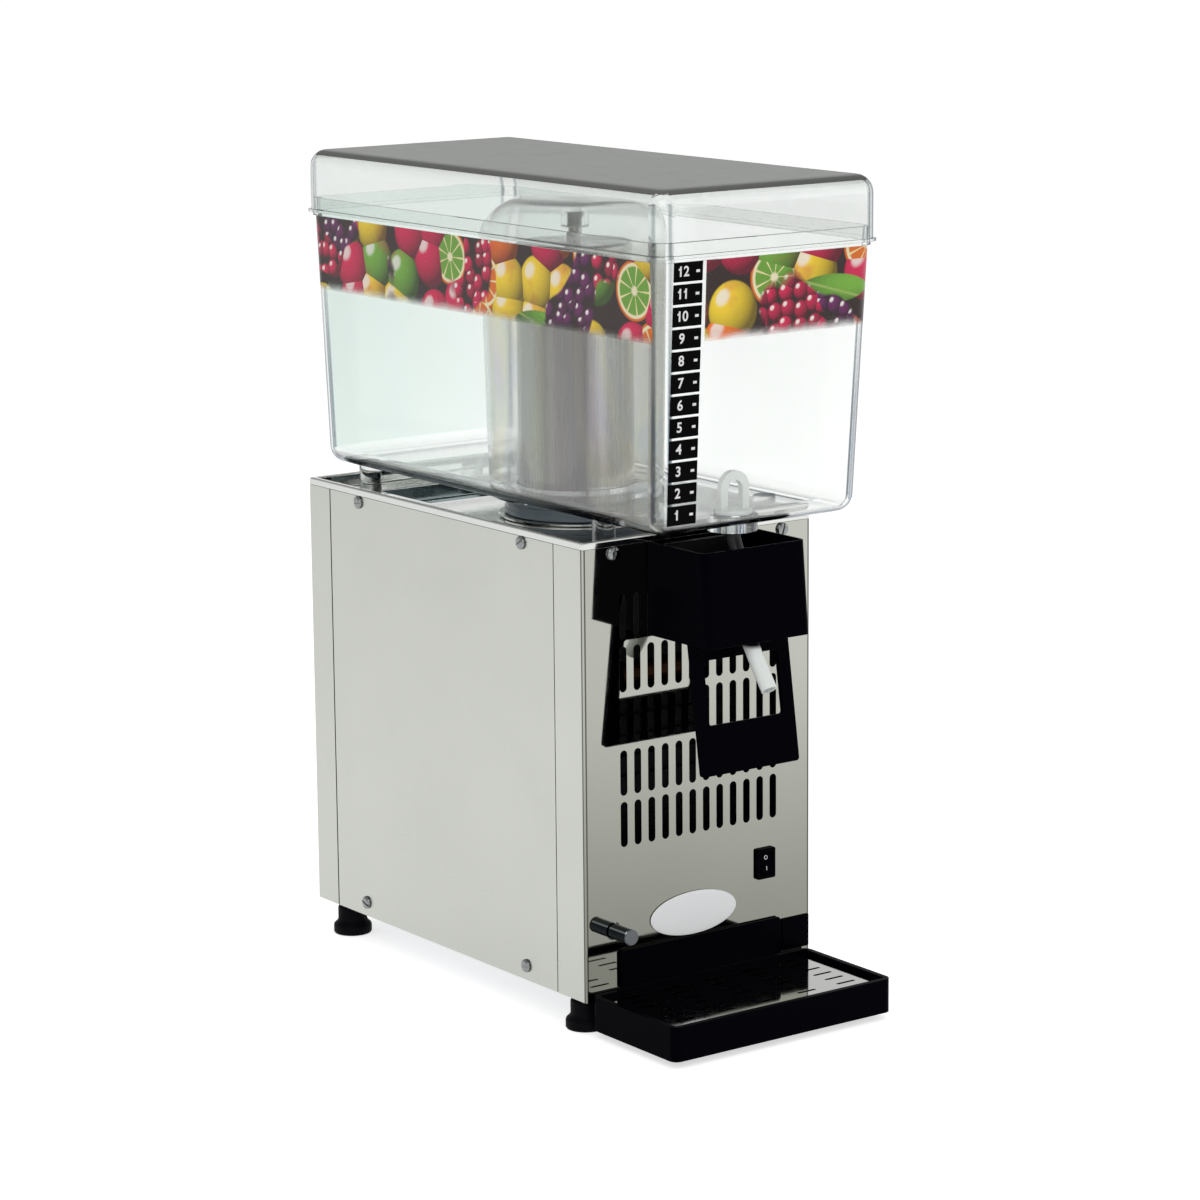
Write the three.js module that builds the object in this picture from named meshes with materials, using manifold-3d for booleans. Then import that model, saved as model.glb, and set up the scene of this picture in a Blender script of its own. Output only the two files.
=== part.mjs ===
// Refrigerated juice dispenser with one clear bowl: millimetres, +Z up, front towards -Y.
// Working frame: the front panel's face is Y = 0 and the casing's underside is Z = 0.

import * as THREE from 'three';
import { mergeVertices } from 'three/addons/utils/BufferGeometryUtils.js';
import Module from 'manifold-3d';

const wasm = await Module();
wasm.setup();

// Casing
const casingWidth = 200;
const casingDepth = 350;
const casingHeight = 326.4;
const sheet = 1.2;
const seat = 0.3;
const overrun = 5;
const cornerBevel = 1;
const frontFlange = 33.7;
const rearFlange = 28.7;
const lipHeight = 5;
const baseFlange = 22;
const skirtDepth = 26;

// Top tray
const rimWidth = 5;
const recessDepth = 10;
const wellHalf = 60;
const wellLength = 70;
const wellFromRear = 35;
const wellDepth = 12;
const trayHoleRadius = 38;
const spigotRadius = 5;
const spigotBore = 3.6;
const spigotLength = 14;
const spigotFromEdge = 15;

// Vent slots
const ventWidth = 6;
const ventHeight = 32.3;
const ventPitchX = 12.02;
const ventPitchZ = 36.8;
const ventBottom = 107.4;
const ventColumns = 12;
const ventRows = 5;
const rearVentColumns = 9;
const rearVentRows = 3;
const rearVentBottom = 150;

// Screws
const screwHeadRadius = 4.8;
const screwHeadHeight = 2.2;
const screwShankRadius = 2;
const screwShankLength = 2.9;
const screwHoleRadius = 2.35;
const screwSlotWidth = 1.2;
const screwSlotDepth = 1.1;
const screwFromTop = 9.9;
const screwLow = 10.6;
const sideScrewFront = 72.3;
const sideScrewRear = 68.9;
const frontScrewInset = 25.9;

// Feet
const footHeight = 24.5;
const footBaseRadius = 14.5;
const footBaseHeight = 8;
const footNeckRadius = 11;
const footStudRadius = 4.5;
const footStudHeight = 3;
const footInset = 14;
const footFront = 20;
const footRear = 26;
const footEdge = 1.5;

// Bowl
const bowlAbove = 10.7;
const bowlBottomInset = 13;
const bowlBottomFront = 69.8;
const bowlHeight = 198.9;
const bowlTaperSide = 5.3;
const bowlTaperFront = 10.5;
const bowlTaperRear = 5.9;
const bowlBottomFromRear = 2.2;
const bowlWall = 3;
const bowlCorner = 13;
const bowlFillet = 13;
const bowlFlangeDrop = 10.6;
const bowlFlangeHeight = 2;
const bowlFlangeReach = 2.2;
const bowlBossRadius = 64;
const bowlHoleRadius = 43.4;
const postRadius = 8.2;
const postInset = 30;
const postFront = 16;
const postFromRear = 39;
const outletY = -38;
const outletRadius = 17.5;
const outletDrop = 7;
const outletBore = 6.3;

// Lid
const lidRise = 35.5;
const lidWall = 2;
const lidLip = 2.1;
const lidLipHeight = 2.2;
const lidRound = 13;
const crownShare = 0.98;

// Evaporator, mixer bell and collar
const axisY = 142;
const evaporatorRadius = 42;
const evaporatorHeight = 197.6;
const evaporatorWall = 1.5;
const evaporatorFlange = 58;
const evaporatorFlangeHeight = 2;
const wellTubeRadius = 6.6;
const wellBore = 4.7;
const collarRadius = 54;
const collarHeight = 12.3;
const coilRadius = 32;
const coilTube = 3;
const coilTurns = 8;
const bellAbove = 8.9;
const bellBottomRadius = 63.5;
const bellCrown = 29.6;
const bellRadius = 67.5;
const bellHeight = 198.6;
const bellWall = 2;
const bellHubRadius = 10;
const bellHubDrop = 20;
const shaftRadius = 4;
const pinRadius = 5;
const pinLength = 22;
const motorFlangeRadius = 47;
const motorFlangeHeight = 2.5;
const motorRadius = 29;
const motorLength = 46;
const shaftInMotor = 20;

// Tap
const coverFromTop = 4.9;
const coverHeight = 65.7;
const coverHalf = 45;
const coverBottomDepth = 69;
const coverTopDepth = 63;
const coverWall = 2;
const coverCorner = 5;
const pivotY = -37;
const pivotFromTop = 26.4;
const leverTilt = 8.6;
const leverHalf = 42.5;
const leverLength = 135.5;
const leverThickness = 3.6;
const leverShoulder = 12;
const leverBar = 10;
const leverFoot = 34;
const windowHeight = 44.5;
const leverNeckHalf = 17;
const leverBarrelRadius = 5;
const pivotRadius = 2.4;
const pivotBore = 2.8;
const ribDrop = 25;
const ribHeight = 7;
const ribHalf = 11;
const anvilHalf = 13;
const anvilHeight = 10;
const bracketHalf = 30;
const bracketSheet = 2;
const bracketBelow = 24;
const bracketAbove = 18;
const earHalfHeight = 8;
const earReach = 8;
const springOuter = 4.4;
const springInner = 2.9;
const springLength = 8;
const springLeg = 1.4;
const tubeOuter = 5.65;
const tubeInner = 4.1;
const tubeRunY = -54.2;
const spoutEndY = -78.8;
const spoutEndDrop = 76;
const spoutBendDrop = 42;
const loopHalf = 14.2;
const loopBar = 8.2;
const loopDepth = 7;
const loopHeight = 33.9;
const loopBaseRadius = 13.5;
const loopBaseHeight = 4;

// Drip tray
const dripInset = 3.5;
const dripFront = 97;
const dripBottom = -19;
const dripTop = 6.3;
const dripWall = 4;
const dripFloor = 2.5;
const dripLedge = 3;
const dripCorner = 6;
const gridThickness = 1.5;
const gridTop = 1.2;
const gridSlotLength = 16.4;
const gridSlotWidth = 2.8;
const gridPitchX = 35.6;
const gridPitchY = 13;
const gridFirstRow = 11;
const gridColumns = 5;
const gridRows = 6;
const backInset = 28.5;
const backTop = 33.5;
const backThickness = 2.4;
const backChamfer = 3;
const tongueX = 48;
const tongueHalf = 7;
const tongueHeight = 5;
const tongueZ = 22;
const tongueReach = 6;

// Drain
const drainInset = 24;
const drainZ = 48.5;
const drainRadius = 5.5;
const drainBore = 3.9;
const drainLength = 20;
const drainTail = 12;
const drainCollar = 8.5;
const drainCollarThickness = 2.5;
const drainHole = 6.4;
const plugCap = 1.6;
const plugStem = 7;
const hoseRadius = 6;

// Switch, badge and label
const switchInset = 41.8;
const switchZ = 76;
const bezelHalfX = 9.65;
const bezelHalfZ = 11.2;
const bezelThickness = 2.2;
const bezelBodyX = 8.3;
const bezelBodyZ = 10;
const bezelDepth = 22;
const pocketHalfX = 6.9;
const pocketHalfZ = 8.5;
const pocketDepth = 7;
const rockerHalfX = 6.5;
const rockerHalfZ = 7.6;
const rockerPivot = 3.6;
const rockerTilt = 8;
const rockerNose = 3.4;
const rockerBack = 1.6;
const badgeX = -6.2;
const badgeZ = 49.9;
const badgeHalfX = 38;
const badgeHalfZ = 15.6;
const badgeThickness = 1;
const labelInset = 1.6;
const labelWidth = 24.4;
const labelBottom = 7;
const labelHeight = 23.8;
const labelThickness = 0.8;

// Refrigeration and electrics
const compressorFromRear = 88;
const compressorRadius = 56;
const compressorTop = 158;
const compressorWaist = 118;
const compressorFootX = 72;
const compressorFootY = 62;
const compressorFootThickness = 3;
const grommetRadius = 9;
const grommetHeight = 11;
const grommetX = 60;
const grommetY = 50;
const condenserInset = 31;
const condenserFront = 38;
const condenserDepth = 34;
const condenserHeight = 205;
const finCount = 13;
const finGroove = 4;
const finGrooveDepth = 3;
const fanZ = 112;
const fanRadius = 62;
const fanGap = 8;
const fanHub = 16;
const fanWidth = 18;
const bladeThickness = 2;
const bladePitch = 32;
const bladeCount = 4;
const fanShaft = 3;
const fanMotorRadius = 23;
const fanMotorLength = 40;
const fanBracketHalf = 26;
const fanBracketFoot = 26;
const drierRadius = 9;
const drierLength = 62;
const pipeRadius = 3.2;
const inletInset = 45;
const inletZ = 46;
const inletHalfX = 24;
const inletHalfZ = 14;
const inletBodyX = 14;
const inletBodyZ = 10.5;
const inletRecessX = 12;
const inletRecessZ = 8.5;
const inletRecessDepth = 16;
const inletBodyDepth = 21;
const inletPin = 1.2;
const inletPinHeight = 2;
const inletPinLength = 9;
const inletPinSpacing = 7;
const thermostatInset = 45;
const thermostatZ = 58;
const thermostatHalf = 18;
const thermostatDepth = 28;
const knobRadius = 11;
const knobThickness = 6;
const knobSpindle = 3;
const knobSlot = 1.6;

// Derived places shared by several pieces
const halfWidth = casingWidth / 2;
const panelTop = casingHeight - lipHeight - seat;
const frontScrewX = halfWidth - frontScrewInset;
const inside = halfWidth - sheet - seat;
const innerFront = sheet + seat;
const innerRear = casingDepth - sheet - seat;
const deckTop = casingHeight - recessDepth;
const deckUnder = deckTop - sheet;
const wellFloor = deckTop - wellDepth;
const wellRear = casingDepth - wellFromRear;
const spigotX = spigotFromEdge - wellHalf;
const spigotY = wellRear - spigotFromEdge;
const spigotBottom = wellFloor - sheet - spigotLength;
const baseTop = sheet + seat;
const screwHigh = casingHeight - screwFromTop;
const bowlBottom = casingHeight + bowlAbove;
const bowlTop = bowlBottom + bowlHeight;
const bowlFlangeTop = bowlTop - bowlFlangeDrop;
const bowlFloor = bowlBottom + bowlWall;
const loopTop = bowlBottom + loopHeight;
const lidTop = bowlTop + lidRise;
const evaporatorTop = deckTop + evaporatorHeight;
const bellBottom = bowlBottom + bellAbove;
const bellTop = bellBottom + bellHeight;
const bellShoulder = bellTop - bellCrown;
const coverTop = casingHeight - coverFromTop;
const coverBottom = coverTop - coverHeight;
const pivotZ = casingHeight - pivotFromTop;
const ribZ = pivotZ - ribDrop;
const spoutEndZ = pivotZ - spoutEndDrop;
const spoutBendZ = pivotZ - spoutBendDrop;
const bowlBottomHalf = halfWidth - bowlBottomInset;
const bowlTopHalf = bowlBottomHalf + bowlTaperSide;
const bowlTopFront = bowlBottomFront + bowlTaperFront;
const bowlBottomRear = casingDepth - bowlBottomFromRear;
const bowlTopRear = bowlBottomRear + bowlTaperRear;
const postX = halfWidth - postInset;
const postRear = casingDepth - postFromRear;
const collarBottom = deckTop + seat + evaporatorFlangeHeight + seat;
const collarTop = collarBottom + collarHeight;
const bossBottom = collarTop + seat;
const outletBottom = bowlBottom - outletDrop;
const lidHalf = bowlTopHalf + seat + lidWall;
const lidFront = bowlTopFront + seat + lidWall;
const lidRear = bowlTopRear + seat + lidWall;
const lidBottom = bowlFlangeTop + seat;
const leverLean = THREE.MathUtils.degToRad(leverTilt);
const dripHalf = halfWidth - dripInset;
const backHalf = halfWidth - backInset;
const drainX = drainInset - halfWidth;
const switchX = halfWidth - switchInset;
const compressorY = casingDepth - compressorFromRear;
const condenserHalf = halfWidth - condenserInset;
const inletX = inletInset - halfWidth;
const thermostatX = halfWidth - thermostatInset;
const centreY = (lidRear + lidLip - dripFront) / 2;

const ROUND = 28;
const MEDIUM = 18;
const SMALL = 10;
const CORNER_STEPS = 4;
const PIPE_SIDES = 8;
const PIPE_STEPS = 22;
const BORE_STEPS = 26;
const ARCH_STEPS = 8;
const COIL_STEPS = 10;

// Materials
const paint = (color, roughness, metalness, opacity = 1) => new THREE.MeshStandardMaterial({
  color, roughness, metalness, opacity, transparent: opacity < 1,
});
const polishedSteel = () => paint(0xb9bbb2, 0.08, 1);
const satinSteel = () => paint(0xc8cac2, 0.35, 0.9);
const zincSteel = () => paint(0xa9adb0, 0.4, 0.9);
const screwSteel = () => paint(0x8f9290, 0.3, 1);
const clearPlastic = () => paint(0xe6ece6, 0.08, 0, 0.3);
const frostedPlastic = () => paint(0xe4e9e2, 0.3, 0, 0.5);
const blackPlastic = () => paint(0x08080b, 0.3, 0);
const blackRubber = () => paint(0x121214, 0.7, 0);
const whiteSilicone = () => paint(0xe2e6e2, 0.5, 0, 0.9);
const copper = () => paint(0xb0703f, 0.35, 1);
const blackEnamel = () => paint(0x1a1b1d, 0.45, 0.1);
const aluminium = () => paint(0xb4b8ba, 0.45, 0.9);
const whitePlastic = () => paint(0xf1f2f0, 0.35, 0);
const greyPlastic = () => paint(0x8d9092, 0.4, 0);

// A geometry as a closed solid, with its shared corners merged
function solid(geometry) {
  const bare = geometry.clone();
  bare.deleteAttribute('normal');
  bare.deleteAttribute('uv');
  const merged = mergeVertices(bare);
  const index = merged.index.array;
  const triangles = [];
  for (let i = 0; i < index.length; i += 3) {
    const [a, b, c] = index.slice(i, i + 3);
    if (a !== b && b !== c && c !== a) triangles.push(a, b, c);
  }
  return new wasm.Manifold(new wasm.Mesh({
    numProp: 3,
    vertProperties: new Float32Array(merged.attributes.position.array),
    triVerts: new Uint32Array(triangles),
  }));
}

const group = new THREE.Group();

// A named piece in the finished group
function piece(name, shape, material) {
  const { vertProperties, triVerts } = shape.getMesh();
  const geometry = new THREE.BufferGeometry();
  geometry.setAttribute('position', new THREE.BufferAttribute(vertProperties, 3));
  geometry.setIndex(new THREE.BufferAttribute(triVerts, 1));
  geometry.computeVertexNormals();
  const mesh = new THREE.Mesh(geometry, material);
  mesh.name = name;
  group.add(mesh);
}

// A box between two corners
function box(x0, x1, y0, y1, z0, z1) {
  const geometry = new THREE.BoxGeometry(x1 - x0, y1 - y0, z1 - z0);
  return solid(geometry.translate((x0 + x1) / 2, (y0 + y1) / 2, (z0 + z1) / 2));
}

// Round bars along each axis, from one end to the other
function barZ(x, y, z0, z1, radius, sides = MEDIUM) {
  const geometry = new THREE.CylinderGeometry(radius, radius, z1 - z0, sides).rotateX(Math.PI / 2);
  return solid(geometry.translate(x, y, (z0 + z1) / 2));
}

function barY(x, y0, y1, z, radius, sides = MEDIUM) {
  const geometry = new THREE.CylinderGeometry(radius, radius, y1 - y0, sides);
  return solid(geometry.translate(x, (y0 + y1) / 2, z));
}

function barX(x0, x1, y, z, radius, sides = MEDIUM) {
  const geometry = new THREE.CylinderGeometry(radius, radius, x1 - x0, sides).rotateZ(Math.PI / 2);
  return solid(geometry.translate((x0 + x1) / 2, y, z));
}

// A profile of [radius, height] turned about a vertical axis, in either order
function turned(x, y, profile, sides = ROUND) {
  let area = 0;
  profile.forEach(([r, z], i) => {
    const [nextR, nextZ] = profile[(i + 1) % profile.length];
    area += r * nextZ - nextR * z;
  });
  const ordered = area > 0 ? [...profile] : [...profile].reverse();
  const onAxis = ordered.some(([r]) => r === 0);
  if (onAxis) {
    while (ordered[0][0] !== 0 || ordered[ordered.length - 1][0] !== 0) ordered.push(ordered.shift());
  } else {
    ordered.push(ordered[0]);
  }
  const points = ordered.map(([r, z]) => new THREE.Vector2(r, z));
  return solid(new THREE.LatheGeometry(points, sides).rotateX(Math.PI / 2).translate(x, y, 0));
}

// A closed outline of [x, z] points pushed through from y0 to y1
function plateXZ(outline, y0, y1) {
  const shape = new THREE.Shape(outline.map(([x, z]) => new THREE.Vector2(x, z)));
  const geometry = new THREE.ExtrudeGeometry(shape, { depth: y1 - y0, bevelEnabled: false });
  return solid(geometry.rotateX(Math.PI / 2).translate(0, y1, 0));
}

// A closed outline of [x, y] points raised from z0 to z1
function plateXY(outline, z0, z1) {
  const shape = new THREE.Shape(outline.map(([x, y]) => new THREE.Vector2(x, y)));
  const geometry = new THREE.ExtrudeGeometry(shape, { depth: z1 - z0, bevelEnabled: false });
  return solid(geometry.translate(0, 0, z0));
}

// A closed outline of [y, z] points pushed through from x0 to x1
function plateYZ(outline, x0, x1) {
  const shape = new THREE.Shape(outline.map(([y, z]) => new THREE.Vector2(y, z)));
  const geometry = new THREE.ExtrudeGeometry(shape, { depth: x1 - x0, bevelEnabled: false });
  return solid(geometry.rotateY(Math.PI / 2).rotateX(Math.PI / 2).translate(x0, 0, 0));
}

// The corner points of a rectangle with rounded corners, anticlockwise
function roundedRectangle(x0, x1, y0, y1, radius, steps = CORNER_STEPS) {
  const centres = [[x1 - radius, y0 + radius], [x1 - radius, y1 - radius],
    [x0 + radius, y1 - radius], [x0 + radius, y0 + radius]];
  return centres.flatMap(([cx, cy], corner) => Array.from({ length: steps + 1 }, (_, i) => {
    const angle = (corner - 1 + i / steps) * Math.PI / 2;
    return [cx + radius * Math.cos(angle), cy + radius * Math.sin(angle)];
  }));
}

// A slot with round ends, upright, as [across, up] points
function slotOutline(cx, cz, width, height) {
  return roundedRectangle(cx - width / 2, cx + width / 2, cz - height / 2, cz + height / 2, width / 2, 2);
}

// A hollow or block whose level sections change with height
function loft(sections) {
  const rings = sections.map(({ z, half, front, rear, radius }) => (
    roundedRectangle(-half, half, -front, rear, radius).map(([x, y]) => [x, y, z])));
  const count = rings[0].length;
  const corners = rings.flat(2);
  const triangles = [];
  for (let level = 0; level < rings.length - 1; level += 1) {
    for (let i = 0; i < count; i += 1) {
      const a = level * count + i;
      const b = level * count + (i + 1) % count;
      triangles.push(a, b, b + count, a, b + count, a + count);
    }
  }
  const top = (rings.length - 1) * count;
  for (let i = 1; i < count - 1; i += 1) {
    triangles.push(0, i + 1, i, top, top + i, top + i + 1);
  }
  const geometry = new THREE.BufferGeometry();
  geometry.setAttribute('position', new THREE.BufferAttribute(new Float32Array(corners), 3));
  geometry.setIndex(triangles);
  return solid(geometry);
}

// A round rod along a smooth curve through points
function rod(points, radius, sides, steps) {
  const path = new THREE.CatmullRomCurve3(points.map((p) => new THREE.Vector3(...p)), false, 'centripetal');
  const section = new THREE.Shape(Array.from({ length: sides }, (_, i) => {
    const angle = i / sides * Math.PI * 2;
    return new THREE.Vector2(radius * Math.cos(angle), radius * Math.sin(angle));
  }));
  return solid(new THREE.ExtrudeGeometry(section, { steps, extrudePath: path, bevelEnabled: false }));
}

// Feet: a flared rubber pad below a metal stud
function foot(name, x, y) {
  const studBottom = -seat - footStudHeight;
  const shape = turned(x, y, [
    [0, -footHeight],
    [footBaseRadius - footEdge, -footHeight],
    [footBaseRadius, -footHeight + footEdge],
    [footBaseRadius, -footHeight + footBaseHeight - footEdge],
    [footNeckRadius, -footHeight + footBaseHeight + footEdge],
    [footNeckRadius, studBottom],
    [footStudRadius, studBottom],
    [footStudRadius, -seat],
    [0, -seat],
  ], MEDIUM);
  piece(name, shape, blackRubber());
}

function feet() {
  const x = halfWidth - footInset;
  const rear = casingDepth - footRear;
  foot('foot_front_left', -x, footFront);
  foot('foot_front_right', x, footFront);
  foot('foot_rear_left', -x, rear);
  foot('foot_rear_right', x, rear);
}

// Screw places, as [side, y, z] on the sides and [x, z] on the front
const sideScrewRows = [sideScrewFront, casingDepth - sideScrewRear];
const sideScrewHeights = [screwLow, screwHigh];
const holeReach = sheet + seat + sheet + overrun;

function sideScrewHoles(shape) {
  let cut = shape;
  sideScrewRows.forEach((y) => sideScrewHeights.forEach((z) => {
    cut = cut.subtract(barX(-halfWidth - overrun, -halfWidth + holeReach, y, z, screwHoleRadius, SMALL));
    cut = cut.subtract(barX(halfWidth - holeReach, halfWidth + overrun, y, z, screwHoleRadius, SMALL));
  }));
  return cut;
}

function frontScrewHoles(shape) {
  let cut = shape;
  [-frontScrewX, frontScrewX].forEach((x) => {
    cut = cut.subtract(barY(x, -overrun, holeReach, screwHigh, screwHoleRadius, SMALL));
  });
  return cut;
}

// A slotted pan-head screw that points along +X from the origin, head outside
function screwShape() {
  const head = barX(-seat - screwHeadHeight, -seat, 0, 0, screwHeadRadius, MEDIUM);
  const shank = barX(-seat - screwSlotDepth / 2, screwShankLength, 0, 0, screwShankRadius, SMALL);
  const face = -seat - screwHeadHeight;
  const slot = box(face - overrun, face + screwSlotDepth, -screwSlotWidth / 2, screwSlotWidth / 2,
    -screwHeadRadius - overrun, screwHeadRadius + overrun);
  return head.add(shank).subtract(slot);
}

function screws() {
  sideScrewRows.forEach((y, row) => sideScrewHeights.forEach((z, level) => {
    const place = `${level ? 'upper' : 'lower'}_${row ? 'rear' : 'front'}`;
    piece(`side_screw_left_${place}`, screwShape().translate([-halfWidth, y, z]), screwSteel());
    piece(`side_screw_right_${place}`,
      screwShape().rotate([0, 0, 180]).translate([halfWidth, y, z]), screwSteel());
  }));
  [['left', -frontScrewX], ['right', frontScrewX]].forEach(([side, x]) => {
    piece(`front_screw_${side}`, screwShape().rotate([0, 0, 90]).translate([x, 0, screwHigh]), screwSteel());
  });
}

// Casing sheets
function basePlate() {
  const pan = box(-inside, inside, innerFront, innerRear, 0, baseFlange);
  const hollow = box(-inside + sheet, inside - sheet, innerFront + sheet, innerRear - sheet,
    sheet, baseFlange + overrun);
  piece('base_plate', sideScrewHoles(pan.subtract(hollow)), zincSteel());
}

function ventSlots(columns, rows, bottom, y0, y1) {
  const slots = [];
  for (let column = 0; column < columns; column += 1) {
    for (let row = 0; row < rows; row += 1) {
      const x = (column - (columns - 1) / 2) * ventPitchX;
      const z = bottom + ventHeight / 2 + row * ventPitchZ;
      slots.push(plateXZ(slotOutline(x, z, ventWidth, ventHeight), y0, y1));
    }
  }
  return wasm.Manifold.union(slots);
}

function frontPanel() {
  const outer = [[-halfWidth, frontFlange], [-halfWidth, cornerBevel], [-halfWidth + cornerBevel, 0],
    [halfWidth - cornerBevel, 0], [halfWidth, cornerBevel], [halfWidth, frontFlange],
    [halfWidth - sheet, frontFlange], [halfWidth - sheet, sheet], [-halfWidth + sheet, sheet],
    [-halfWidth + sheet, frontFlange]];
  let panel = plateXY(outer, 0, panelTop);
  panel = panel.subtract(ventSlots(ventColumns, ventRows, ventBottom, -overrun, overrun));
  const cutX = bezelBodyX + seat;
  const cutZ = bezelBodyZ + seat;
  panel = panel.subtract(box(switchX - cutX, switchX + cutX, -overrun, overrun,
    switchZ - cutZ, switchZ + cutZ));
  panel = panel.subtract(barY(drainX, -overrun, overrun, drainZ, drainHole));
  [-tongueX, tongueX].forEach((x) => {
    panel = panel.subtract(box(x - tongueHalf - seat, x + tongueHalf + seat, -overrun, overrun,
      tongueZ - seat, tongueZ + tongueHeight + seat));
  });
  piece('front_panel', frontScrewHoles(panel), polishedSteel());
}

function rearPanel() {
  const y = casingDepth;
  const outer = [[-halfWidth, y - rearFlange], [-halfWidth, y - cornerBevel], [-halfWidth + cornerBevel, y],
    [halfWidth - cornerBevel, y], [halfWidth, y - cornerBevel], [halfWidth, y - rearFlange],
    [halfWidth - sheet, y - rearFlange], [halfWidth - sheet, y - sheet], [-halfWidth + sheet, y - sheet],
    [-halfWidth + sheet, y - rearFlange]];
  let panel = plateXY(outer, 0, panelTop);
  panel = panel.subtract(ventSlots(rearVentColumns, rearVentRows, rearVentBottom, y - overrun, y + overrun));
  const cutX = inletBodyX + seat;
  const cutZ = inletBodyZ + seat;
  panel = panel.subtract(box(inletX - cutX, inletX + cutX, y - overrun, y + overrun,
    inletZ - cutZ, inletZ + cutZ));
  panel = panel.subtract(barY(thermostatX, y - overrun, y + overrun, thermostatZ, knobSpindle + seat));
  piece('rear_panel', panel, satinSteel());
}

function sidePanels() {
  [['left', -halfWidth], ['right', halfWidth - sheet]].forEach(([side, x]) => {
    const panel = box(x, x + sheet, frontFlange + seat, casingDepth - rearFlange - seat, 0, panelTop);
    piece(`side_panel_${side}`, sideScrewHoles(panel), satinSteel());
  });
}

// The top: a pan inside a rim, with a lip outside, a skirt inside the panels and a well behind
function topTray() {
  const lipBottom = casingHeight - lipHeight;
  const skirtBottom = lipBottom - skirtDepth;
  const rimUnder = casingHeight - sheet;
  let tray = box(-halfWidth, halfWidth, 0, casingDepth, lipBottom, casingHeight);
  tray = tray.subtract(box(-halfWidth + sheet, halfWidth - sheet, sheet, casingDepth - sheet,
    lipBottom - overrun, rimUnder));
  const skirt = box(-inside, inside, innerFront, innerRear, skirtBottom, casingHeight);
  tray = tray.add(skirt.subtract(box(-inside + sheet, inside - sheet, innerFront + sheet, innerRear - sheet,
    skirtBottom - overrun, rimUnder)));
  const panX = halfWidth - rimWidth;
  const panRear = casingDepth - rimWidth;
  tray = tray.add(box(-panX - sheet, panX + sheet, rimWidth - sheet, panRear + sheet,
    deckUnder, casingHeight));
  const wellFront = wellRear - wellLength;
  tray = tray.add(box(-wellHalf - sheet, wellHalf + sheet, wellFront - sheet, wellRear + sheet,
    wellFloor - sheet, deckTop));
  tray = tray.add(barZ(spigotX, spigotY, spigotBottom, wellFloor - sheet / 2, spigotRadius, SMALL));
  tray = tray.subtract(box(-panX, panX, rimWidth, panRear, deckTop, casingHeight + overrun));
  tray = tray.subtract(box(-wellHalf, wellHalf, wellFront, wellRear, wellFloor, casingHeight));
  tray = tray.subtract(barZ(spigotX, spigotY, spigotBottom - overrun, casingHeight, spigotBore, SMALL));
  tray = tray.subtract(barZ(0, axisY, deckUnder - overrun, deckTop + overrun, trayHoleRadius, ROUND));
  piece('top_tray', frontScrewHoles(sideScrewHoles(tray)), polishedSteel());
}

// Bowl: tapered walls, a flange under the lid, a boss round the evaporator, an outlet and four posts
function bowlSection(z, share, inset, radius) {
  return {
    z,
    half: bowlBottomHalf + bowlTaperSide * share - inset,
    front: bowlBottomFront + bowlTaperFront * share - inset,
    rear: bowlBottomRear + bowlTaperRear * share - inset,
    radius,
  };
}

// Quarter turns in even steps, in radians
function quarterTurn(steps) {
  return Array.from({ length: steps + 1 }, (_, i) => i / steps * Math.PI / 2);
}

function bowlBody(wall) {
  const bottom = bowlBottom + wall;
  const fillet = bowlFillet - wall;
  const rounded = quarterTurn(CORNER_STEPS).map((angle) => bowlSection(
    bottom + fillet * (1 - Math.cos(angle)), 0, wall + fillet * (1 - Math.sin(angle)), bowlCorner - wall));
  const height = wall ? bowlTop + overrun : bowlTop;
  return [...rounded, bowlSection(height, 1, wall, bowlCorner - wall)];
}

function bowl() {
  let shape = loft(bowlBody(0));
  const flange = bowlSection(bowlFlangeTop, 1, -bowlFlangeReach, bowlCorner + bowlFlangeReach);
  shape = shape.add(loft([{ ...flange, z: bowlFlangeTop - bowlFlangeHeight }, flange]));
  shape = shape.subtract(loft(bowlBody(bowlWall)));
  shape = shape.add(barZ(0, axisY, bossBottom, bowlFloor, bowlBossRadius, ROUND));
  shape = shape.add(barZ(0, outletY, outletBottom, bowlFloor, outletRadius, MEDIUM));
  [-postX, postX].forEach((x) => {
    shape = shape.add(barZ(x, postFront, deckTop + seat, bowlFloor - bowlWall / 2, postRadius, MEDIUM));
    shape = shape.add(barZ(x, postRear, deckTop + seat, bowlFloor - bowlWall / 2, postRadius, MEDIUM));
  });
  shape = shape.subtract(barZ(0, axisY, bossBottom - overrun, bowlFloor + overrun, bowlHoleRadius, ROUND));
  shape = shape.subtract(barZ(0, outletY, outletBottom - overrun, bowlFloor + overrun, outletBore, MEDIUM));
  piece('bowl', shape, clearPlastic());
}

// Lid: a clear cap with a rounded top edge and a small lip at its foot
function lidBody(wall) {
  const round = lidRound - wall;
  const section = (z, inset) => ({
    z, half: lidHalf - inset, front: lidFront - inset, rear: lidRear - inset, radius: lidRound - wall,
  });
  const crown = quarterTurn(CORNER_STEPS).map((angle) => section(
    lidTop - wall - round * (1 - Math.sin(angle)), wall + round * (1 - Math.cos(angle)) * crownShare));
  return [section(wall ? lidBottom - overrun : lidBottom, wall), ...crown];
}

function lid() {
  let shape = loft(lidBody(0));
  const lip = {
    z: lidBottom, half: lidHalf + lidLip, front: lidFront + lidLip, rear: lidRear + lidLip,
    radius: lidRound + lidLip,
  };
  shape = shape.add(loft([lip, { ...lip, z: lidBottom + lidLipHeight }]));
  piece('lid', shape.subtract(loft(lidBody(lidWall))), clearPlastic());
}

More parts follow.
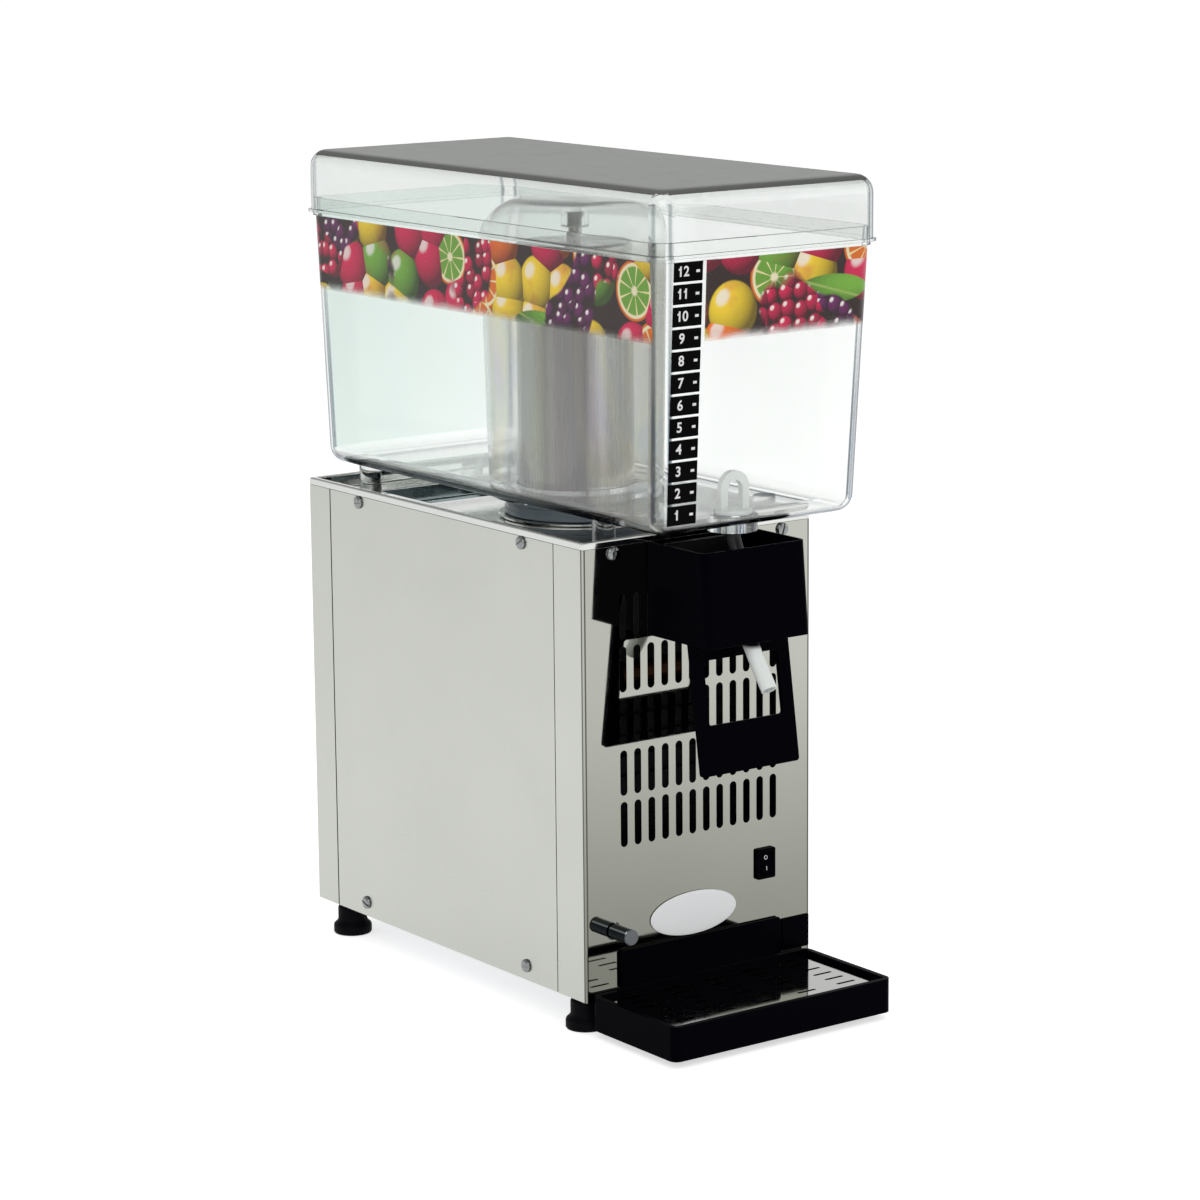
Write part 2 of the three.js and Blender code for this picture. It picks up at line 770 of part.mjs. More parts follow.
// Evaporator: a steel can, open below, with a tube for the mixer's shaft through its middle
function evaporator() {
  const bottom = deckTop + seat;
  const inner = evaporatorRadius - evaporatorWall;
  piece('evaporator', turned(0, axisY, [
    [wellBore, bottom], [wellTubeRadius, bottom], [wellTubeRadius, evaporatorTop - evaporatorWall],
    [inner, evaporatorTop - evaporatorWall], [inner, bottom], [evaporatorFlange, bottom],
    [evaporatorFlange, bottom + evaporatorFlangeHeight], [evaporatorRadius, bottom + evaporatorFlangeHeight],
    [evaporatorRadius, evaporatorTop], [wellBore, evaporatorTop],
  ], ROUND), satinSteel());
}

function collar() {
  piece('bowl_collar', turned(0, axisY, [
    [evaporatorRadius + seat, collarBottom], [collarRadius, collarBottom], [collarRadius, collarTop],
    [evaporatorRadius + seat, collarTop],
  ], ROUND), blackRubber());
}

function evaporatorCoil() {
  const bottom = deckUnder + coilTube;
  const top = evaporatorTop - evaporatorWall - coilTube - coilTube;
  const steps = coilTurns * COIL_STEPS;
  const points = Array.from({ length: steps + 1 }, (_, i) => {
    const angle = i / COIL_STEPS * Math.PI * 2;
    const height = bottom + (top - bottom) * i / steps;
    return [coilRadius * Math.cos(angle), axisY + coilRadius * Math.sin(angle), height];
  });
  piece('evaporator_coil', rod(points, coilTube, PIPE_SIDES, steps), copper());
}

// Mixer bell: a frosted cover that hangs on the shaft's pin and turns round the evaporator
function mixerBell() {
  const round = bellTop - bellShoulder;
  const shoulder = (wall) => quarterTurn(CORNER_STEPS).slice(1).map((angle) => [
    bellRadius - round + (round - wall) * Math.cos(angle), bellShoulder + (round - wall) * Math.sin(angle)]);
  const hubBottom = bellTop - bellHubDrop;
  const pinTop = evaporatorTop + seat + pinLength;
  piece('mixer_bell', turned(0, axisY, [
    [bellBottomRadius - bellWall, bellBottom], [bellBottomRadius, bellBottom], [bellRadius, bellShoulder],
    ...shoulder(0), [0, bellTop], [0, pinTop + seat], [pinRadius + seat, pinTop + seat],
    [pinRadius + seat, hubBottom], [bellHubRadius, hubBottom], [bellHubRadius, bellTop - bellWall],
    ...shoulder(bellWall).reverse(), [bellRadius - bellWall, bellShoulder],
  ], ROUND), frostedPlastic());
}

function mixerShaft() {
  const shoulder = evaporatorTop + seat;
  piece('mixer_shaft', turned(0, axisY, [
    [0, deckUnder - seat - shaftInMotor], [shaftRadius, deckUnder - seat - shaftInMotor],
    [shaftRadius, shoulder], [pinRadius, shoulder], [pinRadius, shoulder + pinLength],
    [0, shoulder + pinLength],
  ], MEDIUM), satinSteel());
}

function mixerMotor() {
  const top = deckUnder - seat;
  const flangeUnder = top - motorFlangeHeight;
  const boreBottom = top - shaftInMotor - seat;
  piece('mixer_motor', turned(0, axisY, [
    [shaftRadius + seat, top], [motorFlangeRadius, top], [motorFlangeRadius, flangeUnder],
    [motorRadius, flangeUnder], [motorRadius, flangeUnder - motorLength], [0, flangeUnder - motorLength],
    [0, boreBottom], [shaftRadius + seat, boreBottom],
  ], ROUND), blackEnamel());
}

// Tap cover: black, open above, below and behind, with an anvil inside for the tube
function coverSection(z, wall) {
  const share = (z - coverBottom) / (coverTop - coverBottom);
  return {
    z,
    half: coverHalf - wall,
    front: coverBottomDepth + (coverTopDepth - coverBottomDepth) * share - wall,
    rear: coverBottomDepth,
    radius: coverCorner - wall,
  };
}

function tapCover() {
  const hollow = loft([coverSection(coverBottom - overrun, coverWall),
    coverSection(coverTop + overrun, coverWall)]);
  let shape = loft([coverSection(coverBottom, 0), coverSection(coverTop, 0)]).subtract(hollow);
  const wallInside = coverSection(ribZ - anvilHeight / 2, coverWall).front;
  shape = shape.add(box(-anvilHalf, anvilHalf, -wallInside - coverWall / 2, tubeRunY - tubeOuter - seat,
    ribZ - anvilHeight / 2, ribZ + anvilHeight / 2));
  const behind = coverBottomDepth + overrun;
  shape = shape.subtract(box(-behind, behind, -seat, behind, coverBottom - overrun, coverTop + overrun));
  piece('tap_cover', shape, blackPlastic());
}

// Lever: a frame that hangs from the pivot pin and leans forward at its foot.
// It is drawn upright about the pivot, then turned by its lean.
function lever() {
  const slope = Math.cos(leverLean);
  const half = leverThickness / 2;
  let shape = box(-leverHalf, leverHalf, -half, half, -leverLength / slope, -leverShoulder);
  shape = shape.add(box(-leverNeckHalf, leverNeckHalf, -half, half, -leverShoulder - half, 0));
  shape = shape.add(barX(-leverNeckHalf, leverNeckHalf, 0, 0, leverBarrelRadius, MEDIUM));
  const window = leverHalf - leverBar;
  const sill = (leverFoot - leverLength) / slope;
  shape = shape.subtract(box(-window, window, -overrun, overrun, sill, sill + windowHeight / slope));
  const ribFront = tubeRunY + tubeOuter + seat + seat;
  const leanAtRib = pivotY - ribDrop * Math.tan(leverLean);
  const ribReach = (leanAtRib - ribFront) * slope;
  const ribPlace = -ribDrop / slope;
  shape = shape.add(box(-ribHalf, ribHalf, -ribReach, 0, ribPlace - ribHeight / 2, ribPlace + ribHeight / 2));
  shape = shape.subtract(barX(-leverHalf, leverHalf, 0, 0, pivotBore, MEDIUM));
  piece('lever', shape.rotate([-leverTilt, 0, 0]).translate([0, pivotY, pivotZ]), blackPlastic());
}

function tapBracket() {
  const backFace = -seat - bracketSheet;
  let shape = box(-bracketHalf, bracketHalf, backFace, -seat, pivotZ - bracketBelow, pivotZ + bracketAbove);
  [-bracketHalf, bracketHalf - bracketSheet].forEach((x) => {
    shape = shape.add(box(x, x + bracketSheet, pivotY - earReach, -seat, pivotZ - earHalfHeight,
      pivotZ + earHalfHeight));
  });
  const past = bracketHalf + overrun;
  shape = shape.subtract(barX(-past, past, pivotY, pivotZ, pivotRadius + seat));
  piece('tap_bracket', shape, zincSteel());
}

function leverPin() {
  const reach = bracketHalf + bracketSheet;
  piece('lever_pin', barX(-reach, reach, pivotY, pivotZ, pivotRadius, MEDIUM), satinSteel());
}

// Return spring: its wound body on the pin, with one leg back to the bracket
function leverSpring() {
  const start = leverNeckHalf + seat;
  let shape = barX(start, start + springLength, pivotY, pivotZ, springOuter, MEDIUM);
  shape = shape.add(box(start + springLength - springLeg, start + springLength, pivotY,
    -seat - bracketSheet - seat, pivotZ + springInner, pivotZ + springInner + springLeg));
  shape = shape.subtract(barX(0, bracketHalf, pivotY, pivotZ, springInner, MEDIUM));
  piece('lever_spring', shape, satinSteel());
}

// Silicone tube from under the bowl's outlet to the spout in front of the lever
function spoutTube() {
  const top = outletBottom - seat;
  const runTop = pivotZ - earHalfHeight;
  const path = [[0, outletY, top], [0, outletY, top - tubeOuter], [0, tubeRunY, runTop],
    [0, tubeRunY, ribZ], [0, tubeRunY, spoutBendZ], [0, spoutEndY, spoutEndZ]];
  const fall = [0, spoutEndY - tubeRunY, spoutEndZ - spoutBendZ];
  const reach = overrun / Math.hypot(...fall);
  const bore = [[0, outletY, top + overrun], ...path.slice(1),
    [0, spoutEndY + fall[1] * reach, spoutEndZ + fall[2] * reach]];
  const shape = rod(path, tubeOuter, SMALL, PIPE_STEPS).subtract(rod(bore, tubeInner, SMALL, BORE_STEPS));
  piece('spout_tube', shape, whiteSilicone());
}

// Pull loop of the silicone tap, standing on the bowl's floor with its neck in the outlet
function tapLoop() {
  const base = bowlFloor + seat;
  const baseTop = base + loopBaseHeight;
  const archCentre = loopTop - loopHalf;
  const arc = (radius) => Array.from({ length: ARCH_STEPS + 1 }, (_, i) => {
    const angle = i / ARCH_STEPS * Math.PI;
    return [radius * Math.cos(angle), archCentre + radius * Math.sin(angle)];
  });
  const inner = loopHalf - loopBar;
  const middle = baseTop - loopBaseHeight / 2;
  const outline = [[loopHalf, middle], ...arc(loopHalf), [-loopHalf, middle]];
  const hole = [[inner, baseTop + seat], ...arc(inner), [-inner, baseTop + seat]];
  let shape = plateXZ(outline, outletY - loopDepth / 2, outletY + loopDepth / 2);
  shape = shape.subtract(plateXZ(hole, outletY - loopDepth, outletY + loopDepth));
  shape = shape.add(barZ(0, outletY, base, baseTop, loopBaseRadius, MEDIUM));
  shape = shape.add(barZ(0, outletY, outletBottom, base + loopBaseHeight / 2, outletBore - seat, SMALL));
  piece('tap_loop', shape, whiteSilicone());
}

// Drip tray, its grid and the plate that stands on its rear edge
function dripSection(z, inset, radius) {
  return { z, half: dripHalf - inset, front: dripFront - inset, rear: -seat - seat - inset, radius };
}

const gridSeat = gridTop - gridThickness - seat;

function dripTray() {
  let shape = loft([dripSection(dripBottom, footEdge, dripCorner),
    dripSection(dripBottom + footEdge, 0, dripCorner), dripSection(dripTop, 0, dripCorner)]);
  const pocket = dripCorner - dripWall;
  shape = shape.subtract(loft([dripSection(gridSeat, dripWall, pocket),
    dripSection(dripTop + overrun, dripWall, pocket)]));
  const well = dripWall + dripLedge;
  shape = shape.subtract(loft([dripSection(dripBottom + dripFloor, well, pocket),
    dripSection(dripTop, well, pocket)]));
  piece('drip_tray', shape, blackPlastic());
}

function dripGrid() {
  const inset = dripWall + seat;
  let shape = loft([dripSection(gridTop - gridThickness, inset, dripCorner - dripWall),
    dripSection(gridTop, inset, dripCorner - dripWall)]);
  const slots = [];
  for (let column = 0; column < gridColumns; column += 1) {
    for (let row = 0; row < gridRows; row += 1) {
      const x = (column - (gridColumns - 1) / 2) * gridPitchX;
      const y = -gridFirstRow - row * gridPitchY;
      const upright = slotOutline(y, x, gridSlotWidth, gridSlotLength);
      const outline = upright.map(([across, along]) => [along, across]);
      slots.push(plateXY(outline, gridTop - gridThickness - overrun, gridTop + overrun));
    }
  }
  piece('drip_grid', shape.subtract(wasm.Manifold.union(slots)), polishedSteel());
}

function trayBackplate() {
  const front = -seat - seat - backThickness;
  const bottom = dripTop + seat;
  const outline = [[-backHalf, bottom], [backHalf, bottom], [backHalf, backTop - backChamfer],
    [backHalf - backChamfer, backTop], [-backHalf + backChamfer, backTop],
    [-backHalf, backTop - backChamfer]];
  let shape = plateXZ(outline, front, -seat - seat);
  [-tongueX, tongueX].forEach((x) => {
    shape = shape.add(box(x - tongueHalf, x + tongueHalf, front + backThickness / 2, tongueReach,
      tongueZ, tongueZ + tongueHeight));
  });
  piece('tray_backplate', shape, blackPlastic());
}

// Drain outlet on the front, its plug, and the hose from the top tray
function drain() {
  let tube = barY(drainX, -drainLength, drainTail, drainZ, drainRadius);
  tube = tube.add(barY(drainX, innerFront, innerFront + drainCollarThickness, drainZ, drainCollar));
  tube = tube.subtract(barY(drainX, -drainLength - overrun, drainTail + overrun, drainZ, drainBore));
  piece('drain_tube', tube, polishedSteel());
  const face = -drainLength - seat;
  const plug = barY(drainX, face - plugCap, face, drainZ, drainRadius);
  piece('drain_plug', plug.add(barY(drainX, face - plugCap / 2, face + plugStem, drainZ, drainBore - seat)),
    greyPlastic());
  const hoseTop = spigotBottom - seat;
  const lane = drainX - hoseRadius;
  const bend = hoseRadius + hoseRadius;
  const lowStraight = drainTail + bend;
  const path = [[spigotX, spigotY, hoseTop], [spigotX, spigotY, hoseTop - bend],
    [lane, (spigotY + axisY) / 2, (hoseTop + drainZ) / 2],
    [lane, lowStraight + bend + bend, drainZ + hoseRadius],
    [drainX, lowStraight, drainZ], [drainX, drainTail + seat, drainZ]];
  const bore = path.map(([x, y, z], i) => {
    if (i === 0) return [x, y, z + overrun];
    return i === path.length - 1 ? [x, y - overrun, z] : [x, y, z];
  });
  const hose = rod(path, hoseRadius, PIPE_SIDES, PIPE_STEPS);
  piece('drain_hose', hose.subtract(rod(bore, drainBore, PIPE_SIDES, BORE_STEPS)), blackRubber());
}

// Rocker switch
function switchBezel() {
  const front = -seat - bezelThickness;
  let shape = box(switchX - bezelHalfX, switchX + bezelHalfX, front, -seat, switchZ - bezelHalfZ,
    switchZ + bezelHalfZ);
  shape = shape.add(box(switchX - bezelBodyX, switchX + bezelBodyX, -seat - bezelThickness / 2, bezelDepth,
    switchZ - bezelBodyZ, switchZ + bezelBodyZ));
  shape = shape.subtract(box(switchX - pocketHalfX, switchX + pocketHalfX, front - overrun,
    front + pocketDepth, switchZ - pocketHalfZ, switchZ + pocketHalfZ));
  piece('switch_bezel', shape, blackPlastic());
}

function switchRocker() {
  const outline = [[rockerBack, -rockerHalfZ], [rockerBack, rockerHalfZ], [-rockerNose, rockerHalfZ],
    [-rockerNose + seat + seat, 0], [-rockerNose, -rockerHalfZ]];
  const shape = plateYZ(outline, switchX - rockerHalfX, switchX + rockerHalfX);
  const pivot = -seat - bezelThickness + rockerPivot;
  piece('switch_rocker', shape.rotate([-rockerTilt, 0, 0]).translate([0, pivot, switchZ]), blackPlastic());
}

function badgeAndLabel() {
  const oval = Array.from({ length: ROUND }, (_, i) => {
    const angle = i / ROUND * Math.PI * 2;
    return [badgeX + badgeHalfX * Math.cos(angle), badgeZ + badgeHalfZ * Math.sin(angle)];
  });
  piece('badge', plateXZ(oval, -seat - badgeThickness, -seat), whitePlastic());
  const labelRight = halfWidth - labelInset;
  piece('label_plate', box(labelRight - labelWidth, labelRight, -seat - labelThickness, -seat, labelBottom,
    labelBottom + labelHeight), blackPlastic());
}

// Compressor on four rubber grommets
const compressorBase = baseTop + grommetHeight + seat;

function compressor() {
  const plateTop = compressorBase + compressorFootThickness;
  let shape = box(-compressorFootX, compressorFootX, compressorY - compressorFootY,
    compressorY + compressorFootY, compressorBase, plateTop);
  const rise = compressorTop - compressorWaist;
  const dome = quarterTurn(CORNER_STEPS).slice(1, -1).map((angle) => [
    compressorRadius * Math.cos(angle), compressorWaist + rise * Math.sin(angle)]);
  shape = shape.add(turned(0, compressorY, [
    [0, plateTop - compressorFootThickness / 2], [compressorRadius, plateTop - compressorFootThickness / 2],
    [compressorRadius, compressorWaist], ...dome, [0, compressorTop],
  ], ROUND));
  piece('compressor', shape, blackEnamel());
  [['front', -grommetY], ['rear', grommetY]].forEach(([end, y]) => {
    [['left', -grommetX], ['right', grommetX]].forEach(([side, x]) => {
      piece(`grommet_${end}_${side}`,
        barZ(x, compressorY + y, baseTop, baseTop + grommetHeight, grommetRadius, SMALL), blackRubber());
    });
  });
}

// Condenser: a finned block behind the front vents
function condenser() {
  const rear = condenserFront + condenserDepth;
  const top = baseTop + condenserHeight;
  let shape = box(-condenserHalf, condenserHalf, condenserFront, rear, baseTop, top);
  const pitch = condenserHeight / (finCount + 1);
  const grooveEnd = condenserHalf - finGroove;
  for (let i = 1; i <= finCount; i += 1) {
    const z = baseTop + i * pitch;
    const low = z - finGroove / 2;
    const high = z + finGroove / 2;
    shape = shape.subtract(box(-grooveEnd, grooveEnd, condenserFront - overrun,
      condenserFront + finGrooveDepth, low, high));
    shape = shape.subtract(box(-grooveEnd, grooveEnd, rear - finGrooveDepth, rear + overrun, low, high));
  }
  piece('condenser', shape, aluminium());
  const drierZ = top + seat + drierRadius;
  const middle = (condenserFront + rear) / 2;
  piece('drier', barX(-drierLength / 2, drierLength / 2, middle, drierZ, drierRadius), copper());
}

// Fan behind the condenser, its motor and the motor's bracket
const fanFront = condenserFront + condenserDepth + fanGap;
const fanMotorFront = fanFront + fanWidth + seat;

function fan() {
  const middle = fanFront + fanWidth / 2;
  let shape = barY(0, fanFront, fanFront + fanWidth, fanZ, fanHub);
  for (let i = 0; i < bladeCount; i += 1) {
    const blade = box(fanHub / 2, fanRadius, -bladeThickness / 2, bladeThickness / 2, -fanWidth, fanWidth);
    const trimmed = blade.rotate([90 - bladePitch, 0, 0])
      .intersect(box(0, fanRadius, -fanWidth / 2, fanWidth / 2, -fanRadius, fanRadius));
    shape = shape.add(trimmed.rotate([0, i / bladeCount * 360, 0]).translate([0, middle, fanZ]));
  }
  shape = shape.add(barY(0, middle, fanMotorFront + fanHub, fanZ, fanShaft, SMALL));
  piece('fan', shape, aluminium());
}

function fanMotor() {
  const rear = fanMotorFront + fanMotorLength;
  const bore = barY(0, fanMotorFront - overrun, fanMotorFront + fanHub + seat, fanZ, fanShaft + seat, SMALL);
  piece('fan_motor', barY(0, fanMotorFront, rear, fanZ, fanMotorRadius).subtract(bore), blackEnamel());
  const plate = rear + seat;
  const plateTop = fanZ + fanBracketHalf;
  let bracket = box(-fanBracketHalf, fanBracketHalf, plate, plate + bracketSheet, baseTop, plateTop);
  bracket = bracket.add(box(-fanBracketHalf, fanBracketHalf, plate, plate + fanBracketFoot, baseTop,
    baseTop + bracketSheet));
  piece('fan_bracket', bracket, zincSteel());
}

// Refrigerant pipes
function pipes() {
  const side = condenserHalf + seat;
  const lane = side + pipeRadius + pipeRadius + pipeRadius;
  const low = compressorWaist / 2;
  const condenserMiddle = condenserFront + condenserDepth / 2;
  const inlet = low / 2;
  const shell = compressorRadius + seat;
  const discharge = [[shell, compressorY, low], [lane, compressorY, low],
    [lane, compressorY - compressorRadius, low], [lane, condenserMiddle + fanWidth, inlet],
    [lane - pipeRadius, condenserMiddle, inlet], [side, condenserMiddle, inlet]];
  piece('discharge_pipe', rod(discharge, pipeRadius, PIPE_SIDES, PIPE_STEPS), copper());
  const under = deckUnder - seat - motorFlangeHeight - seat;
  const beside = (motorRadius + motorFlangeRadius) / 2;
  const start = compressorY - shell;
  const suction = [[0, start, low], [0, start - fanHub, low], [0, start - shaftInMotor, low + fanHub],
    [beside, start - shaftInMotor, compressorTop], [beside, axisY, under - motorLength],
    [beside, axisY, under]];
  piece('suction_pipe', rod(suction, pipeRadius, PIPE_SIDES, PIPE_STEPS), copper());
}

// Mains inlet in the rear panel: a socket with three pins
function mainsInlet() {
  const face = casingDepth + seat;
  const front = face + sheet;
  let shape = box(inletX - inletHalfX, inletX + inletHalfX, face, front,
    inletZ - inletHalfZ, inletZ + inletHalfZ);
  shape = shape.add(box(inletX - inletBodyX, inletX + inletBodyX, front - inletBodyDepth,
    front - sheet / 2, inletZ - inletBodyZ, inletZ + inletBodyZ));
  const floor = front - inletRecessDepth;
  shape = shape.subtract(box(inletX - inletRecessX, inletX + inletRecessX, floor, front + overrun,
    inletZ - inletRecessZ, inletZ + inletRecessZ));
  [-1, 0, 1].forEach((place) => {
    const x = inletX + place * inletPinSpacing;
    const z = inletZ + (place === 0 ? inletPinHeight : -inletPinHeight);
    shape = shape.add(box(x - inletPin, x + inletPin, floor - sheet, floor + inletPinLength,
      z - inletPinHeight, z + inletPinHeight));
  });
  piece('mains_inlet', shape, blackPlastic());
}

// Thermostat behind the rear panel, with its knob outside
function thermostat() {
  const front = innerRear - thermostatDepth;
  const bore = barY(thermostatX, innerRear - thermostatDepth / 2 - seat, innerRear + overrun, thermostatZ,
    knobSpindle + seat, SMALL);
  piece('thermostat', box(thermostatX - thermostatHalf, thermostatX + thermostatHalf, front, innerRear,
    thermostatZ - thermostatHalf, thermostatZ + thermostatHalf).subtract(bore), greyPlastic());
  const face = casingDepth + seat;
  let knob = barY(thermostatX, face, face + knobThickness, thermostatZ, knobRadius);
  knob = knob.subtract(box(thermostatX - knobSlot / 2, thermostatX + knobSlot / 2,
    face + knobThickness - knobSlot, face + knobThickness + overrun, thermostatZ,
    thermostatZ + knobRadius + overrun));
  knob = knob.add(barY(thermostatX, innerRear - thermostatDepth / 2, face + knobThickness / 2, thermostatZ,
    knobSpindle, SMALL));
  piece('thermostat_knob', knob, blackPlastic());
}

basePlate();
frontPanel();
rearPanel();
sidePanels();
topTray();
screws();
feet();
bowl();
lid();
evaporator();
evaporatorCoil();
collar();
mixerBell();
mixerShaft();
mixerMotor();
tapCover();
lever();
leverPin();
leverSpring();
tapBracket();
spoutTube();
tapLoop();
dripTray();
dripGrid();
trayBackplate();
drain();
switchBezel();
switchRocker();
badgeAndLabel();
compressor();
condenser();
fan();
fanMotor();
pipes();
mainsInlet();
thermostat();

// The origin is the centre of the box that holds everything, on the surface it stands on
group.position.set(0, -centreY, footHeight);

export default group;
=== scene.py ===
# Juice dispenser with one clear bowl: the shapes and finishes of its visible parts.
# Places are given in millimetres in the panel frame: X to the viewer's right, Y towards the back
# from the front panel's face, Z up from the casing's underside. place() puts them into metres.

import math
from contextlib import contextmanager

import bmesh
import bpy
from bpy.props import FloatProperty, FloatVectorProperty, PointerProperty
from mathutils import Euler, Matrix, Vector


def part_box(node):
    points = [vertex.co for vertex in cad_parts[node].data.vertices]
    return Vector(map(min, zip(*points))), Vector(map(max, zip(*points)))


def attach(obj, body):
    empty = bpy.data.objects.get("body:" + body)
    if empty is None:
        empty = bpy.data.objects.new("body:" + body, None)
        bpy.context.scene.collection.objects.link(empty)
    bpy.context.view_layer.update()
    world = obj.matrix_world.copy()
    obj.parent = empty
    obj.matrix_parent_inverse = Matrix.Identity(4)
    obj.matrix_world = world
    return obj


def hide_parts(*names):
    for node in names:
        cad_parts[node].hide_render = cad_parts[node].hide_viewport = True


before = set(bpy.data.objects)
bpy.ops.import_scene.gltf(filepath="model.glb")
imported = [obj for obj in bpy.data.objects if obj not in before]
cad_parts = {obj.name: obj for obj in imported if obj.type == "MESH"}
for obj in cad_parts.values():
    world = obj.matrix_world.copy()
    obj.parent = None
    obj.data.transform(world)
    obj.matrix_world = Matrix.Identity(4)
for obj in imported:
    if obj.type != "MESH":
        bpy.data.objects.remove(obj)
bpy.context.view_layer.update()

bl_info = {
    "name": "Juice dispenser",
    "version": (1, 0, 0),
    "blender": (4, 5, 0),
    "location": "3D View > Sidebar > Dispenser",
    "description": "Builds the visible parts of a refrigerated juice dispenser round its frame",
    "category": "Object",
}

MM = 0.001
PANEL_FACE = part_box("front_panel")[0]

# Sizes and places of the frame's parts that several pieces share, in millimetres in the panel frame
SEAM = 0.7
DEPTH = 350
VENT_PITCH = (12.02, 36.8)
SCREW_LEVELS = (("lower", 10.6), ("upper", 316.5))
SCREW_ENDS = (("front", 72.3), ("rear", 281.1))
FRONT_SCREW_X = 74.1
TONGUES = (-48, 48)
MIXER_Y = 142
OUTLET_Y = -38
RIM_MIDDLE = (0, 136.7, 0)
BOWL_FOOT, BOWL_TOP = 337.1, 536.0
BOWL_FRONT = -69.8
BOWL_LEAN = 10.5
SCALE_X = -68.65
SCALE_FOOT, SCALE_TOP = 345.5, 523.5
PRINT_FOOT, PRINT_TOP = 468.5, 523.2
DRAIN_X, DRAIN_Z = -76, 48.5
SWITCH_X, SWITCH_Z = 58.4, 75.2
KNOB = (55, DEPTH, 58)
HOSE_Y, HOSE_RADIUS = -54.2, 5.65
SIDES = (("left", -1), ("right", 1))
ENDS = ("front", "rear")


def length(name, description, millimetres):
    """A length that the user may change, stored in metres."""
    return FloatProperty(name=name, description=description, default=millimetres * MM,
                         min=0.0, precision=5, unit="LENGTH")


def colour(name, description, red, green, blue):
    """A colour that the user may change."""
    return FloatVectorProperty(name=name, description=description, default=(red, green, blue, 1.0),
                               size=4, min=0.0, max=1.0, subtype="COLOR")


class DispenserSizes(bpy.types.PropertyGroup):
    """Sizes of the details that the frame leaves open"""

    sheet: length("Sheet", "Thickness of the casing's steel sheet", 1.2)
    bend: length("Bend", "Outer radius of the casing's folded corners", 1.8)
    edge: length("Edge", "Rounding of cut steel edges", 0.25)
    moulding: length("Moulding", "Rounding of moulded plastic edges", 0.8)
    vent_width: length("Vent width", "Width of a vent slot", 6.0)
    vent_height: length("Vent height", "Height of a vent slot", 32.3)
    bowl_wall: length("Bowl wall", "Thickness of the bowl's wall", 3.0)
    bowl_corner: length("Bowl corner", "Radius of the bowl's corners", 13.0)
    lid_wall: length("Lid wall", "Thickness of the lid's wall", 2.0)
    lid_round: length("Lid rounding", "Radius of the lid's upper edge", 13.0)
    bell_wall: length("Bell wall", "Thickness of the mixer bell", 2.0)
    cover_wall: length("Cover wall", "Thickness of the tap cover", 2.0)
    tray_wall: length("Tray wall", "Thickness of the drip tray's wall", 4.0)
    grid_slot: length("Grid slot", "Width of a slot in the drip grid", 2.8)
    mark_height: length("Mark height", "Height of one square of the level scale", 13.3)
    numeral: length("Numeral", "Height of the level scale's numerals", 9.6)
    fruit: length("Fruit", "Size of a large fruit in the print", 34.0)


class DispenserColours(bpy.types.PropertyGroup):
    """Colours of the finishes"""

    # Upper and lower colours of the front panel: the change between them is painted shade, darker
    # towards its foot.
    panel_high: colour("Panel, upper", "Polished front panel near its top", 0.385, 0.393, 0.354)
    panel_low: colour("Panel, lower", "Polished front panel near its foot", 0.205, 0.208, 0.18)
    side_steel: colour("Side steel", "Satin side and rear panels", 0.48, 0.493, 0.455)
    clear: colour("Clear plastic", "Bowl", 0.975, 0.99, 0.98)
    lid_clear: colour("Lid plastic", "Clear walls of the lid", 0.87, 0.90, 0.875)
    # Painted dark shade where the clear plastic is seen edge on.
    clear_edge: colour("Clear plastic edge", "Bowl and lid where they are seen edge on",
                       0.03, 0.045, 0.065)
    lid_top: colour("Lid top", "Matt top of the lid", 0.23, 0.24, 0.225)
    bell: colour("Mixer bell", "Hazy plastic of the mixer bell", 0.88, 0.885, 0.87)
    black: colour("Black plastic", "Tap, tray, switch and plate", 0.0006, 0.0005, 0.0020)
    rubber: colour("Rubber", "Feet, collar and hoses", 0.002, 0.002, 0.003)
    silicone: colour("Silicone", "Spout tube and pull loop", 0.86, 0.90, 0.875)
    print_red: colour("Print red", "Red fruit", 0.60, 0.010, 0.075)
    print_orange: colour("Print orange", "Orange fruit", 0.80, 0.17, 0.012)
    print_yellow: colour("Print yellow", "Yellow fruit", 0.82, 0.58, 0.03)
    print_green: colour("Print green", "Green fruit and leaves", 0.16, 0.38, 0.04)
    print_purple: colour("Print purple", "Berries", 0.13, 0.012, 0.10)
    print_dark: colour("Print dark", "Gaps between the fruit", 0.022, 0.008, 0.006)
    mark: colour("Level mark", "Squares of the level scale", 0.0015, 0.0015, 0.002)
    badge: colour("Badge", "Enamelled badge", 0.93, 0.94, 0.95)


def sizes():
    return bpy.context.scene.dispenser_sizes


def colour_of(name):
    return tuple(getattr(bpy.context.scene.dispenser_colours, name))


def mm(metres):
    return metres / MM


# Places

def place(x, y, z):
    """A point in metres, in the object's frame, from millimetres in the panel frame."""
    return Vector((x * MM, PANEL_FACE.y + y * MM, PANEL_FACE.z + z * MM))


def panel(point):
    """A point in millimetres, in the panel frame, from metres in the object's frame."""
    return Vector((mm(point.x), mm(point.y - PANEL_FACE.y), mm(point.z - PANEL_FACE.z)))


def node_box(node):
    """The lowest and highest corners of a node, in millimetres in the panel frame."""
    low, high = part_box(node)
    return panel(low), panel(high)


# Modelling steps

def activate(piece):
    """Selects one piece alone and makes it active."""
    bpy.ops.object.select_all(action="DESELECT")
    piece.select_set(True)
    bpy.context.view_layer.objects.active = piece


@contextmanager
def editing(piece):
    """Edit mode on one piece, with everything in it selected."""
    activate(piece)
    bpy.ops.object.mode_set(mode="EDIT")
    bpy.ops.mesh.select_mode(type="VERT")
    bpy.ops.mesh.select_all(action="SELECT")
    yield
    bpy.ops.object.mode_set(mode="OBJECT")


